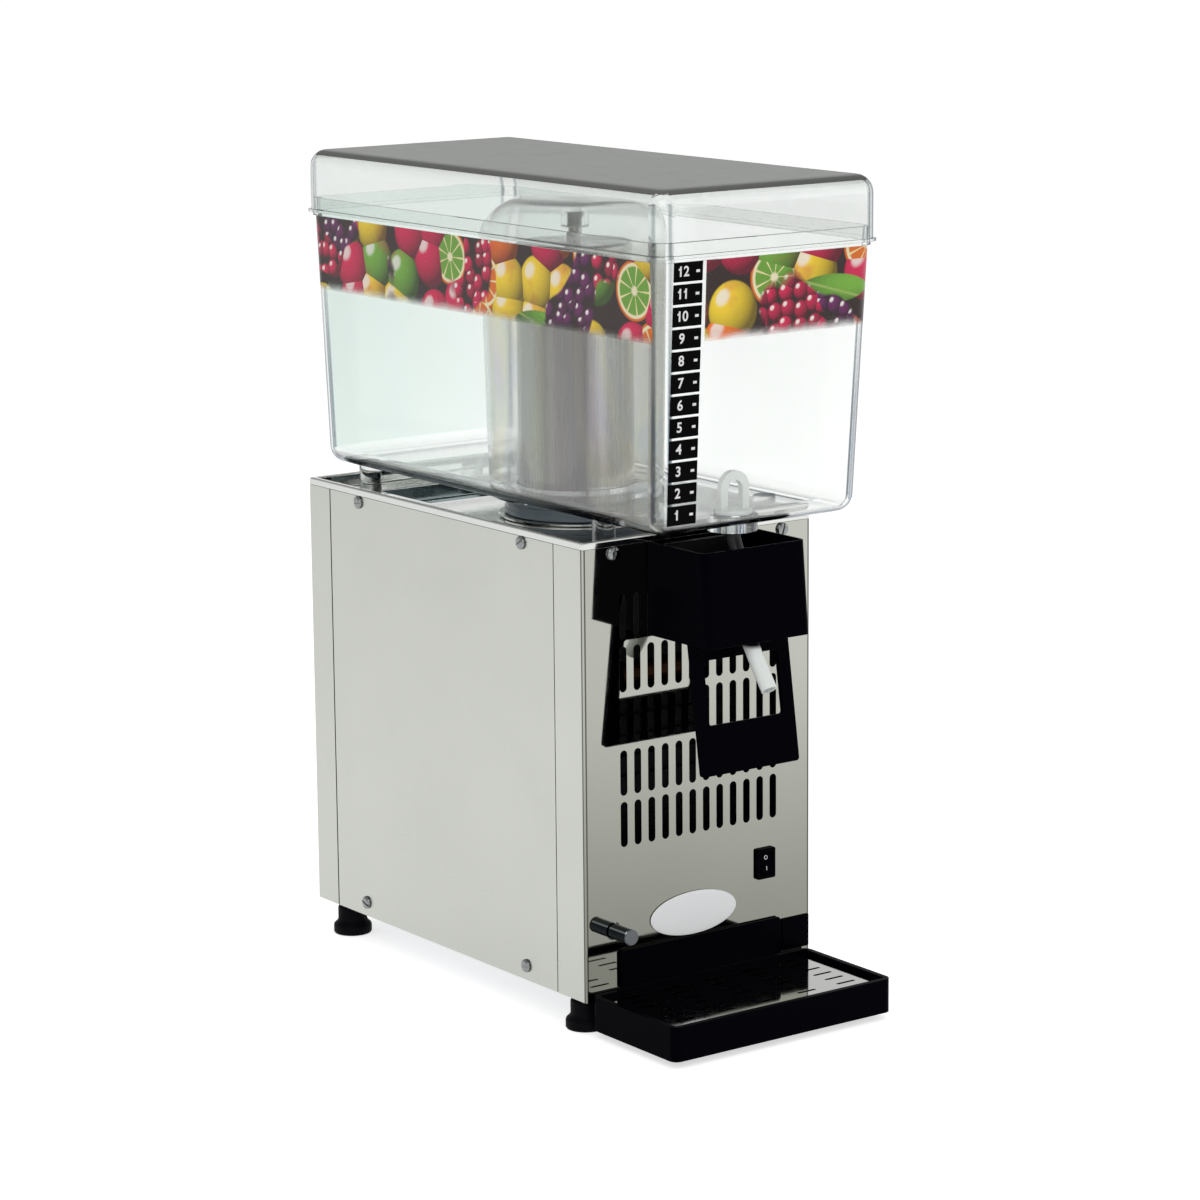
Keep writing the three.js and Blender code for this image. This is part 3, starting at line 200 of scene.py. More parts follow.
def middle(element):
    if isinstance(element, bmesh.types.BMVert):
        return panel(element.co)
    corners = [vertex.co for vertex in element.verts]
    return panel(sum(corners, Vector()) / len(corners))


def heading(element):
    """A face's or vertex's normal, or an edge's direction."""
    if isinstance(element, bmesh.types.BMEdge):
        return (element.verts[1].co - element.verts[0].co).normalized()
    return element.normal


def choose(piece, kind, test):
    """In edit mode, selects the elements whose middle and heading pass the test."""
    bpy.ops.mesh.select_mode(type=kind)
    bpy.ops.mesh.select_all(action="DESELECT")
    shape = bmesh.from_edit_mesh(piece.data)
    shape.normal_update()
    elements = {"VERT": shape.verts, "EDGE": shape.edges, "FACE": shape.faces}[kind]
    for element in [e for e in elements if test(middle(e), heading(e))]:
        element.select_set(True)
    shape.select_flush_mode()
    bmesh.update_edit_mesh(piece.data)


def settle(piece):
    """Puts a piece's place, turn and scale into its mesh."""
    activate(piece)
    bpy.ops.object.transform_apply(location=True, rotation=True, scale=True)
    return piece


def block(x0, x1, y0, y1, z0, z1):
    low, high = place(x0, y0, z0), place(x1, y1, z1)
    bpy.ops.mesh.primitive_cube_add(size=1, location=(low + high) / 2)
    piece = bpy.context.object
    piece.scale = high - low
    return settle(piece)


def modify(piece, kind, **settings):
    """Adds a modifier and applies it."""
    activate(piece)
    bpy.ops.object.modifier_add(type=kind)
    modifier = piece.modifiers[-1]
    for name, value in settings.items():
        setattr(modifier, name, value)
    bpy.ops.object.modifier_apply(modifier=modifier.name)


def round_edges(piece, radius, steps, test):
    """Bevels the edges whose middle and direction pass the test."""
    with editing(piece):
        choose(piece, "EDGE", test)
        bpy.ops.mesh.bevel(offset=radius * MM, segments=steps, affect="EDGES")


def drop_faces(piece, test):
    with editing(piece):
        choose(piece, "FACE", test)
        bpy.ops.mesh.delete(type="FACE")


def soften(piece, radius, steps=2, angle=40):
    """Rounds every edge that is sharper than an angle."""
    modify(piece, "BEVEL", width=radius * MM, segments=steps, limit_method="ANGLE",
           angle_limit=math.radians(angle), use_clamp_overlap=True)


def join(pieces):
    bpy.ops.object.select_all(action="DESELECT")
    for piece in pieces:
        piece.select_set(True)
    bpy.context.view_layer.objects.active = pieces[0]
    if len(pieces) > 1:
        bpy.ops.object.join()
    return pieces[0]


def combine(piece, tools, operation):
    """Cuts tools from a piece, or adds them to it, and removes them."""
    tool = join(tools)
    modify(piece, "BOOLEAN", object=tool, operation=operation, solver="EXACT")
    bpy.data.objects.remove(tool, do_unlink=True)
    return piece


def cut(piece, *tools):
    return combine(piece, list(tools), "DIFFERENCE")


def add(piece, *tools):
    for tool in tools:
        combine(piece, [tool], "UNION")
    return piece


def repeat(piece, count, step):
    """Rows of a piece, a step of millimetres apart."""
    modify(piece, "ARRAY", count=count, use_relative_offset=False, use_constant_offset=True,
           constant_offset_displace=Vector(step) * MM)
    return piece


def sheet_from(piece, thickness):
    """Gives an open shell its thickness, inwards."""
    modify(piece, "SOLIDIFY", thickness=thickness * MM, offset=-1.0, use_even_offset=True,
           use_quality_normals=True)


def turned(x, y, profile, steps=72):
    """A profile of (radius, height) points turned about an upright axis."""
    first = profile[0]
    bpy.ops.mesh.primitive_plane_add(size=MM, location=place(x + first[0], y, first[1]))
    piece = settle(bpy.context.object)
    on_axis = first[0] == 0 and profile[-1][0] == 0
    with editing(piece):
        bpy.ops.mesh.merge(type="CENTER")
        for before, after in zip(profile, profile[1:]):
            step = Vector((after[0] - before[0], 0, after[1] - before[1])) * MM
            bpy.ops.mesh.extrude_vertices_move(TRANSFORM_OT_translate={"value": step})
        if not on_axis:
            ends = [Vector((x + r, y, z)) for r, z in (first, profile[-1])]
            choose(piece, "VERT", lambda at, _: min((at - end).length for end in ends) < 0.001)
            bpy.ops.mesh.edge_face_add()
        bpy.ops.mesh.select_all(action="SELECT")
        bpy.ops.mesh.spin(steps=steps, angle=math.tau, center=place(x, y, 0), axis=(0, 0, 1))
        bpy.ops.mesh.select_all(action="SELECT")
        bpy.ops.mesh.remove_doubles(threshold=0.005 * MM)
        bpy.ops.mesh.normals_make_consistent(inside=False)
    return piece


def rod(x, y, z0, z1, radius, steps=48):
    """An upright round bar, as a cutter or a stub."""
    return turned(x, y, [(0, z0), (radius, z0), (radius, z1), (0, z1)], steps)


def arc(across, up, radius, start, end, steps=4):
    """Points of a profile on an arc between two angles in degrees."""
    turns = [math.radians(start + (end - start) * step / steps) for step in range(steps + 1)]
    return [(across + radius * math.cos(turn), up + radius * math.sin(turn)) for turn in turns]


def pressed(limits, corner, profile):
    """An open shell whose rounded outline follows (inset, height) points."""
    (x0, x1, y0, y1), (first, z) = limits, profile[0]
    centre = place((x0 + x1) / 2, (y0 + y1) / 2, 0)
    bpy.ops.mesh.primitive_plane_add(size=MM, location=(centre.x, centre.y, place(0, 0, z).z))
    piece = bpy.context.object
    piece.scale = (x1 - x0 - 2 * first, y1 - y0 - 2 * first, 1)
    settle(piece)
    with editing(piece):
        bpy.ops.mesh.bevel(offset=corner * MM, segments=5, affect="VERTICES")
        bpy.ops.mesh.delete(type="ONLY_FACE")
        bpy.ops.mesh.select_all(action="SELECT")
        for (before, low), (after, high) in zip(profile, profile[1:]):
            bpy.ops.mesh.extrude_region_move(
                TRANSFORM_OT_translate={"value": (0, 0, (high - low) * MM)})
            grow = [(b - a - 2 * after) / (b - a - 2 * before) for a, b in ((x0, x1), (y0, y1))]
            bpy.ops.transform.resize(value=(*grow, 1), center_override=centre)
    return piece


def lay(piece, turn, x, y, z):
    """Turns a piece that was made at the panel frame's zero, and puts it at its place."""
    origin = place(0, 0, 0)
    spin = Euler([math.radians(angle) for angle in turn]).to_matrix().to_4x4()
    piece.matrix_world = Matrix.Translation(place(x, y, z)) @ spin @ Matrix.Translation(-origin)
    return settle(piece)


def copy_of(piece, turn, x, y, z):
    """A copy with its own mesh, laid at a place."""
    activate(piece)
    bpy.ops.object.duplicate()
    return lay(bpy.context.object, turn, x, y, z)


def vent_cutter(columns, rows, bottom, y):
    """Upright vent slots with round ends, in rows and columns."""
    width, height = mm(sizes().vent_width), mm(sizes().vent_height)
    across, up = VENT_PITCH
    x = -(columns - 1) / 2 * across
    slot = block(x - width / 2, x + width / 2, y - 5, y + 5, bottom, bottom + height)
    round_edges(slot, width * 0.4999, 6, lambda at, way: abs(way.y) > 0.9)
    repeat(slot, columns, (across, 0, 0))
    return repeat(slot, rows, (0, 0, up))


def round_hole(radius, x, y, z):
    """A round cutter through a sheet that faces front or rear."""
    return lay(rod(0, 0, -5, 5, radius), (90, 0, 0), x, y, z)


def finish(piece, name, body, slot, material, *nodes, angle=35):
    """Shades, names and places a finished piece in the frame."""
    piece.name = name
    piece.data.name = name
    activate(piece)
    bpy.ops.object.shade_smooth_by_angle(angle=math.radians(angle))
    modify(piece, "WEIGHTED_NORMAL", keep_sharp=True)
    piece.data.materials.clear()
    piece.data.materials.append(material)
    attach(piece, body)
    if nodes:
        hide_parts(*nodes)
    return piece


def give(piece, material, wanted):
    """Gives the faces that pass a test, of their middle (mm) and normal, one more material."""
    piece.data.materials.append(material)
    for face in piece.data.polygons:
        if wanted(panel(face.center), face.normal):
            face.material_index = len(piece.data.materials) - 1


# Materials

def feed(tree, socket, value):
    """Links a node's output to a socket, or sets the socket's own value."""
    if isinstance(value, bpy.types.NodeSocket):
        tree.links.new(value, socket)
    else:
        socket.default_value = value


def put(tree, kind, sockets=None, **settings):
    """Adds a node, with its settings and with values or links for its inputs."""
    new = tree.nodes.new("ShaderNode" + kind)
    for name, value in settings.items():
        setattr(new, name, value)
    for name, value in (sockets or {}).items():
        feed(tree, new.inputs[name], value)
    return new


def maths(tree, operation, *values, clamp=False):
    return put(tree, "Math", dict(enumerate(values)), operation=operation, use_clamp=clamp).outputs[0]


def blend(tree, share, first, second, blend_type="MIX"):
    """A colour between two others."""
    new = put(tree, "Mix", data_type="RGBA", blend_type=blend_type)
    for socket, value in ((0, share), (6, first), (7, second)):
        feed(tree, new.inputs[socket], value)
    return new.outputs[2]


def spread(tree, value, low, high, to_low=0.0, to_high=1.0, smooth=False):
    """A value stretched from one range to another."""
    kind = "SMOOTHSTEP" if smooth else "LINEAR"
    sockets = {"Value": value, "From Min": low, "From Max": high, "To Min": to_low, "To Max": to_high}
    return put(tree, "MapRange", sockets, interpolation_type=kind).outputs["Result"]


def ramp_of(tree, value, stops):
    """A colour ramp through (place, colour) stops."""
    new = put(tree, "ValToRGB", {0: value})
    elements = new.color_ramp.elements
    while len(elements) < len(stops):
        elements.new(1.0)
    for element, (at, tint) in zip(elements, stops):
        element.position = at
        element.color = tint
    return new.outputs[0]


def noise(tree, vector, scale, detail=2.0, roughness=0.5):
    sockets = {"Vector": vector, "Scale": scale, "Detail": detail, "Roughness": roughness}
    return put(tree, "TexNoise", sockets).outputs["Fac"]


def object_point(tree):
    return put(tree, "TexCoord").outputs["Object"]


def split(tree, vector):
    """The X, Y and Z of a vector."""
    return put(tree, "SeparateXYZ", {0: vector}).outputs


def point_parts(tree):
    return split(tree, object_point(tree))


def grey(tree, value):
    """A grey whose three shares are one value."""
    return put(tree, "CombineColor", {0: value, 1: value, 2: value}).outputs[0]


def multiplied(tree, first, second):
    return blend(tree, 1.0, first, second, "MULTIPLY")


def swing(tree, value, reach, base):
    """A base that a value of 0 to 1 moves up and down."""
    return maths(tree, "MULTIPLY_ADD", maths(tree, "SUBTRACT", value, 0.5), reach, base)


def above(tree, height, low, high, smooth=False):
    """0 below and 1 above two heights, in millimetres in the panel frame."""
    return spread(tree, height, place(0, 0, low).z, place(0, 0, high).z, smooth=smooth)


def behind(tree, along, near, far):
    """0 in front of and 1 behind two places, in millimetres in the panel frame."""
    return spread(tree, along, place(0, near, 0).y, place(0, far, 0).y, smooth=True)


def mapped(tree, vector, **sockets):
    return put(tree, "Mapping", {"Vector": vector, **sockets}).outputs[0]


def from_mixer(tree, **sockets):
    """The object's point, measured from the mixer's upright axis."""
    axis = place(0, MIXER_Y, 0)
    return mapped(tree, object_point(tree), Location=(-axis.x, -axis.y, 0.0), **sockets)


def turn_of(tree, up, across):
    """The angle of a direction, as a share of a whole turn."""
    return maths(tree, "MULTIPLY_ADD", maths(tree, "ARCTAN2", up, across), 1 / math.tau, 0.5)


def effect(name, inputs, outputs, build):
    """A shared effect as a node group, built once."""
    tree = bpy.data.node_groups.get(name)
    if tree is None:
        tree = bpy.data.node_groups.new(name, "ShaderNodeTree")
        for label, kind, value in inputs:
            socket = tree.interface.new_socket(label, in_out="INPUT", socket_type="NodeSocket" + kind)
            socket.default_value = value
        for label, kind in outputs:
            tree.interface.new_socket(label, in_out="OUTPUT", socket_type="NodeSocket" + kind)
        given = tree.nodes.new("NodeGroupInput").outputs
        made = tree.nodes.new("NodeGroupOutput").inputs
        for label, socket in build(tree, given).items():
            tree.links.new(socket, made[label])
    return tree


def use(tree, group, **sockets):
    """Places a shared effect in a material."""
    new = tree.nodes.new("ShaderNodeGroup")
    new.node_tree = group
    for name, value in sockets.items():
        feed(tree, new.inputs[name], value)
    return new.outputs


def drawn_grain():
    """Fine lines along a sheet, and faint cloudy marks from handling."""
    def build(tree, given):
        point = object_point(tree)
        lines = noise(tree, mapped(tree, point, Scale=given["Stretch"]), 1.0, 3.0, 0.6)
        clouds = noise(tree, point, 9.0, 2.0, 0.5)
        smears = noise(tree, point, 34.0, 3.0, 0.65)
        shade = swing(tree, clouds, given["Clouds"], swing(tree, lines, given["Lines"], 1.0))
        marks = spread(tree, smears, 0.45, 0.75)
        rough = maths(tree, "MULTIPLY_ADD", marks, given["Marks"], given["Roughness"])
        return {"Colour": multiplied(tree, given["Colour"], grey(tree, shade)),
                "Roughness": swing(tree, lines, given["Lines"], rough), "Height": lines}

    return effect("drawn_grain", [
        ("Colour", "Color", (0.5, 0.5, 0.5, 1.0)), ("Stretch", "Vector", (900.0, 900.0, 12.0)),
        ("Lines", "Float", 0.05), ("Clouds", "Float", 0.08), ("Roughness", "Float", 0.2),
        ("Marks", "Float", 0.03),
    ], [("Colour", "Color"), ("Roughness", "Float"), ("Height", "Float")], build)


def moulded_skin():
    """The faint grain, tone and handling marks of a moulded or cast surface."""
    def build(tree, given):
        point = object_point(tree)
        grain = noise(tree, point, given["Grain"], 2.0, 0.6)
        tone = noise(tree, point, 14.0, 3.0, 0.55)
        marks = spread(tree, noise(tree, point, 55.0, 4.0, 0.7), 0.5, 0.8)
        shades = grey(tree, swing(tree, tone, given["Tone"], 1.0))
        rough = maths(tree, "MULTIPLY_ADD", marks, given["Marks"], given["Roughness"])
        return {"Colour": multiplied(tree, given["Colour"], shades), "Roughness": rough, "Height": grain}

    return effect("moulded_skin", [
        ("Colour", "Color", (0.5, 0.5, 0.5, 1.0)), ("Grain", "Float", 1800.0), ("Tone", "Float", 0.1),
        ("Roughness", "Float", 0.4), ("Marks", "Float", 0.1),
    ], [("Colour", "Color"), ("Roughness", "Float"), ("Height", "Float")], build)


def blank(name):
    """A new node material, its tree and its shader."""
    material = bpy.data.materials.new(name)
    material.use_nodes = True
    tree = material.node_tree
    return material, tree, tree.nodes["Principled BSDF"]


def bumped(tree, height, depth):
    """A normal from a height, with its depth in millimetres."""
    return put(tree, "Bump", {"Height": height, "Distance": depth * MM, "Strength": 1.0}).outputs[0]


def dress(tree, shader, made, depth, sockets):
    """Feeds a shader's sockets, those of colour, roughness and normal from a shared effect."""
    sockets = {"Base Color": made["Colour"], "Roughness": made["Roughness"],
               "Normal": bumped(tree, made["Height"], depth), **sockets}
    for name, value in sockets.items():
        feed(tree, shader.inputs[name], value)


def once(build):
    """Makes a material the first time it is asked for."""
    def get():
        name = build.__name__ + "_finish"
        return bpy.data.materials.get(name) or build(name)
    return get


def steel(name, base, stretch, roughness, lines, clouds, marks, depth):
    material, tree, shader = blank(name)
    made = use(tree, drawn_grain(), Stretch=stretch, Lines=lines, Clouds=clouds, Roughness=roughness,
               Marks=marks, Colour=base(tree) if callable(base) else base)
    dress(tree, shader, made, depth, {"Metallic": 1.0})
    return material


@once
def front_mirror(name):
    """Polished sheet with painted shade: darker towards its foot and a little darker towards its left,
    with a painted dark reflection line along each fold.
    """
    def base(tree):
        parts = point_parts(tree)
        # Painted shade: the panel darkens from its top colour towards its foot.
        face = blend(tree, above(tree, parts["Z"], 0, 260, smooth=True), colour_of("panel_low"),
                     colour_of("panel_high"))
        # Painted light: a little lighter towards the right, a little darker towards the left.
        face = multiplied(tree, face, grey(tree, maths(tree, "MULTIPLY_ADD", parts["X"], 0.55, 1.0)))
        inwards = maths(tree, "SUBTRACT", place(100, 0, 0).x, maths(tree, "ABSOLUTE", parts["X"]))
        inside = maths(tree, "SUBTRACT", parts["Y"], PANEL_FACE.y)
        flange = maths(tree, "GREATER_THAN", inside, sizes().bend)
        face = blend(tree, flange, face, colour_of("side_steel"))
        # Painted dark reflection line along each fold, 1.7 mm into the bend.
        along = maths(tree, "ABSOLUTE", maths(tree, "SUBTRACT", inwards, inside))
        painted_dark_line = spread(tree, maths(tree, "ABSOLUTE", maths(tree, "SUBTRACT", along, 1.7 * MM)),
                      0.3 * MM, 0.9 * MM)
        return blend(tree, painted_dark_line, dimmed(colour_of("panel_low"), 0.3), face)

    return steel(name, base, (260.0, 260.0, 30.0), 0.035, 0.015, 0.10, 0.03, 0.0004)


@once
def polished_steel(name):
    """Mirror finish of the drip grid and of the can's foot."""
    return steel(name, (0.56, 0.57, 0.55, 1.0), (150.0, 150.0, 150.0), 0.05, 0.02, 0.08, 0.05, 0.0004)


@once
def tray_steel(name):
    """Mirror finish of the top tray, with painted shade in its well and a painted dark reflection of the
    tap cover at its front.
    """
    def base(tree):
        parts = point_parts(tree)
        pale = (0.60, 0.61, 0.59, 1.0)
        # Painted reflection: the pan is near black at its front, where it would mirror the black tap
        # cover.
        pan = blend(tree, behind(tree, parts["Y"], 60, 115), (0.035, 0.038, 0.045, 1.0), pale)
        tone = blend(tree, above(tree, parts["Z"], 317, 318.5), pan, pale)
        # Painted shade: slate grey in the deeper well.
        return blend(tree, above(tree, parts["Z"], 314.6, 316.0), (0.27, 0.31, 0.315, 1.0), tone)

    return steel(name, base, (150.0, 150.0, 150.0), 0.05, 0.02, 0.08, 0.05, 0.0004)


@once
def steel_lining(name):
    """Inner side of the casing's sheets, painted near black as shade."""
    return steel(name, (0.035, 0.035, 0.036, 1.0), (40.0, 40.0, 40.0), 0.6, 0.1, 0.1, 0.1, 0.002)


@once
def dark_chrome(name):
    """Chromed tube with painted reflections: dark where it would mirror the black parts round it, with
    painted pale streaks along it.
    """
    def base(tree):
        axis = place(DRAIN_X, 0, DRAIN_Z)
        parts = split(tree, mapped(tree, object_point(tree), Location=(-axis.x, 0.0, -axis.z)))
        # Painted reflections: dark bands with pale streaks at fixed angles round the tube's axis.
        dark, painted_streak = (0.03, 0.04, 0.055, 1.0), (0.32, 0.35, 0.38, 1.0)
        return ramp_of(tree, turn_of(tree, parts["Z"], parts["X"]), [
            (0.0, dark), (0.07, dark), (0.10, painted_streak), (0.13, dark), (0.30, dark), (0.34, painted_streak),
            (0.37, dark), (0.62, dark), (0.68, painted_streak), (0.72, dark), (0.88, painted_streak), (0.92, dark)])

    return steel(name, base, (150.0, 150.0, 150.0), 0.06, 0.02, 0.08, 0.05, 0.0004)


@once
def satin_steel(name):
    """Side and rear panels, with a fine upright grain."""
    return steel(name, colour_of("side_steel"), (1400.0, 1400.0, 18.0), 0.24, 0.05, 0.10, 0.05,
                 0.0015)


@once
def zinc_steel(name):
    return steel(name, (0.42, 0.43, 0.45, 1.0), (160.0, 160.0, 160.0), 0.38, 0.18, 0.2, 0.1, 0.003)


@once
def screw_steel(name):
    return steel(name, (0.24, 0.25, 0.25, 1.0), (700.0, 700.0, 700.0), 0.14, 0.10, 0.1, 0.1, 0.003)


@once
def cooler_steel(name):
    """Turned steel of the cooling can, with painted light and dark upright bands of reflection round it.
    """
    material, tree, shader = blank(name)
    parts = split(tree, from_mixer(tree))
    angle = maths(tree, "ARCTAN2", parts["Y"], parts["X"])
    turn = maths(tree, "MULTIPLY_ADD", angle, 1 / math.tau, 0.5)
    ring = put(tree, "CombineXYZ", {0: angle, 1: maths(tree, "MULTIPLY", parts["Z"], 0.6)}).outputs[0]
    fine = noise(tree, mapped(tree, ring, Scale=(22.0, 0.3, 1.0)), 1.0, 2.0, 0.5)
    # Painted reflections: light and dark bands at fixed angles round the can.
    stops = [(at, (*tint, 1.0)) for at, tint in (
        (0.0, (0.41, 0.41, 0.40)), (0.025, (0.35, 0.38, 0.35)), (0.045, (0.30, 0.31, 0.24)),
        (0.065, (0.17, 0.16, 0.14)), (0.08, (0.27, 0.25, 0.25)), (0.10, (0.175, 0.155, 0.155)),
        (0.145, (0.17, 0.15, 0.155)), (0.172, (0.24, 0.225, 0.22)), (0.19, (0.50, 0.49, 0.48)),
        (0.22, (0.78, 0.78, 0.76)), (0.25, (0.50, 0.49, 0.47)), (0.285, (0.44, 0.44, 0.42)),
        (0.32, (0.52, 0.52, 0.46)), (0.37, (0.66, 0.66, 0.64)), (0.44, (0.22, 0.21, 0.20)),
        (0.52, (0.55, 0.55, 0.53)), (0.60, (0.27, 0.26, 0.26)), (0.68, (0.66, 0.66, 0.64)),
        (0.76, (0.34, 0.34, 0.33)), (0.83, (0.60, 0.60, 0.58)), (0.90, (0.36, 0.35, 0.34)),
        (0.95, (0.50, 0.50, 0.48)), (1.0, (0.41, 0.41, 0.40)))]
    tone = multiplied(tree, ramp_of(tree, turn, stops), grey(tree, swing(tree, fine, 0.12, 1.0)))
    made = {"Colour": tone, "Roughness": spread(tree, fine, 0.3, 0.7, 0.2, 0.3), "Height": fine}
    dress(tree, shader, made, 0.0004, {"Metallic": 1.0})
    return material


def see_through(name, tints, ior=1.47, change=None):
    """Clear plastic with a colour for each angle, from face on to edge on; the darkening edge on is
    painted shade.
    """
    material, tree, shader = blank(name)
    facing = put(tree, "LayerWeight", {"Blend": 0.5}).outputs["Facing"]
    tint = ramp_of(tree, facing, tints)
    if change:
        tint = change(tree, tint)
    skin = use(tree, moulded_skin(), Colour=tint, Grain=260.0, Tone=0.03, Roughness=0.0, Marks=0.01)
    dress(tree, shader, skin, 0.002, {"Transmission Weight": 1.0, "IOR": ior})
    return material


def dimmed(tint, share):
    return (tint[0] * share, tint[1] * share, tint[2] * share, 1.0)


def faded(clear, *steps):
    """Stops of a clear tint that is dimmed to a share at each facing."""
    return [(facing, dimmed(clear, share)) for facing, share in steps]


def cool_back(tree, tint):
    """A cool cast that grows towards the back of the bowl."""
    share = behind(tree, point_parts(tree)["Y"], 90, 330)
    return multiplied(tree, tint, blend(tree, share, (1.0, 1.0, 1.0, 1.0), (0.87, 0.925, 0.905, 1.0)))


@once
def clear_plastic(name):
    """Bowl: nearly colourless face on, with painted slate shade towards its edges."""
    steps = faded(colour_of("clear"), (0.0, 1.0), (0.30, 0.98), (0.46, 0.88), (0.64, 0.62), (0.80, 0.34))
    return see_through(name, [*steps, (0.92, colour_of("clear_edge"))], change=cool_back)


@once
def clear_floor(name):
    """Floor of the bowl, seen nearly edge on from the front and still clear."""
    # Painted shade: the tint darkens a little edge on.
    steps = faded(colour_of("clear"), (0.0, 1.0), (0.6, 0.95), (0.9, 0.86), (1.0, 0.60))
    return see_through(name, steps, 1.35)


@once
def clear_post(name):
    """Posts under the bowl with painted shade: dimmed all over and dark at their rims, so that they look
    hollow.
    """
    steps = faded(colour_of("clear"), (0.0, 0.74), (0.40, 0.62), (0.65, 0.32))
    return see_through(name, [*steps, (0.90, colour_of("clear_edge"))], 1.2)


@once
def clear_corner(name):
    """Rounded corners of the bowl and lid, with painted dark outlines where the plastic turns, paler
    higher up.
    """
    def lines(tree, tint):
        way = split(tree, put(tree, "NewGeometry").outputs["Normal"])
        across, along = maths(tree, "ABSOLUTE", way["X"]), maths(tree, "ABSOLUTE", way["Y"])
        corner_turn, line_turn = 0.82, 0.48
        turn = maths(tree, "ARCTAN2", along, across)
        from_middle = maths(tree, "ABSOLUTE", maths(tree, "SUBTRACT", turn, corner_turn))
        from_line = maths(tree, "ABSOLUTE", maths(tree, "SUBTRACT", from_middle, line_turn))
        upright = maths(tree, "LESS_THAN", maths(tree, "ABSOLUTE", way["Z"]), 0.3)
        # Painted dark outlines on the upright corners, at set angles of the normal.
        painted_dark_line = maths(tree, "MAXIMUM", spread(tree, from_line, 0.06, 0.16),
                     maths(tree, "SUBTRACT", 1.0, upright))
        # Painted outline tone: dark slate low on the bowl, paler above 400 to 500 mm.
        faint = above(tree, point_parts(tree)["Z"], 400, 500, smooth=True)
        tone = blend(tree, faint, (0.10, 0.13, 0.17, 1.0), (0.52, 0.56, 0.57, 1.0))
        return blend(tree, painted_dark_line, tone, tint)

    steps = faded(colour_of("clear"), (0.0, 0.98), (0.22, 0.96), (0.42, 0.82), (0.54, 0.36))
    return see_through(name, [*steps, (0.66, colour_of("clear_edge"))], change=lines)


@once
def lid_plastic(name):
    """Lid: a greener and slightly greyer cast than the bowl."""
    # Painted shade: the tint darkens towards the lid's edges.
    steps = faded(colour_of("lid_clear"), (0.46, 0.86), (0.66, 0.62), (0.84, 0.40))
    return see_through(name, [(0.0, (0.94, 0.95, 0.945, 1.0)), (0.25, (0.92, 0.935, 0.925, 1.0)), *steps,
                              (0.94, colour_of("clear_edge"))])


@once
def bell_plastic(name):
    """Hazy plastic of the mixer bell, with the faint tints of moulded-in stress and a painted darker
    band of shade on its front right side.
    """
    material, tree, shader = blank(name)
    fringe = noise(tree, from_mixer(tree, Scale=(26.0, 26.0, 7.0)), 1.0, 1.0, 0.4)
    stress = ramp_of(tree, spread(tree, fringe, 0.3, 0.7), [
        (0.0, (0.80, 0.73, 0.86, 1.0)), (0.3, (0.88, 0.85, 0.72, 1.0)), (0.5, (0.78, 0.80, 0.83, 1.0)),
        (0.75, colour_of("bell"))])
    parts = split(tree, from_mixer(tree))
    # Painted shade: a darker band round the front right of the bell.
    cast = ramp_of(tree, turn_of(tree, parts["Y"], parts["X"]), [
        (0.0, (0.97, 0.98, 0.97, 1.0)), (0.08, (0.86, 0.86, 0.85, 1.0)), (0.24, (0.84, 0.85, 0.84, 1.0)),
        (0.33, (0.60, 0.61, 0.59, 1.0)), (0.42, (0.62, 0.63, 0.61, 1.0)),
        (0.6, (0.84, 0.85, 0.84, 1.0)), (0.8, (0.94, 0.94, 0.94, 1.0)), (1.0, (0.97, 0.98, 0.97, 1.0))])
    crown = above(tree, parts["Z"], 485, 525, smooth=True)
    bands = blend(tree, crown, multiplied(tree, stress, cast), (0.96, 0.97, 0.965, 1.0))
    skin = use(tree, moulded_skin(), Colour=bands, Grain=400.0, Tone=0.06, Roughness=0.07, Marks=0.05)
    facing = put(tree, "LayerWeight", {"Blend": 0.5}).outputs["Facing"]
    share = spread(tree, facing, 0.82, 1.0, 0.0, 0.7, smooth=True)
    dress(tree, shader, skin, 0.002, {
        "Base Color": blend(tree, share, skin["Colour"], (0.84, 0.85, 0.85, 1.0)),
        "Transmission Weight": 1.0, "IOR": 1.3})
    return material


def moulded(name, base, roughness, grain, depth, marks, tone, **sockets):
    material, tree, shader = blank(name)
    skin = use(tree, moulded_skin(), Grain=grain, Tone=tone, Roughness=roughness, Marks=marks,
               Colour=base(tree) if callable(base) else base)
    dress(tree, shader, skin, depth, sockets)
    return material


@once
def lid_top(name):
    """Matt, finely textured top of the lid, with painted shade where it turns down."""
    def base(tree):
        top, crest = colour_of("lid_top"), node_box("lid")[1].z
        # Painted shade: the top darkens to 0.42 of its colour below its crest.
        turn = above(tree, point_parts(tree)["Z"], crest - 1.3, crest - 0.2, smooth=True)
        return blend(tree, turn, dimmed(top, 0.42), top)

    return moulded(name, base, 0.42, 1500.0, 0.02, 0.08, 0.12, **{"Specular IOR Level": 0.3})


@once
def black_plastic(name):
    return moulded(name, colour_of("black"), 0.32, 2200.0, 0.001, 0.08, 0.3,
                   **{"Specular IOR Level": 0.01})


@once
def black_rubber(name):
    return moulded(name, colour_of("rubber"), 0.55, 1400.0, 0.02, 0.15, 0.4,
                   **{"Specular IOR Level": 0.05})


@once
def collar_rubber(name):
    """Glossy slate seal under the bowl."""
    return moulded(name, (0.11, 0.135, 0.155, 1.0), 0.22, 300.0, 0.0005, 0.05, 0.2)


@once
def white_silicone(name):
    return moulded(name, colour_of("silicone"), 0.35, 900.0, 0.004, 0.15, 0.08,
                   **{"Transmission Weight": 0.25, "IOR": 1.41})


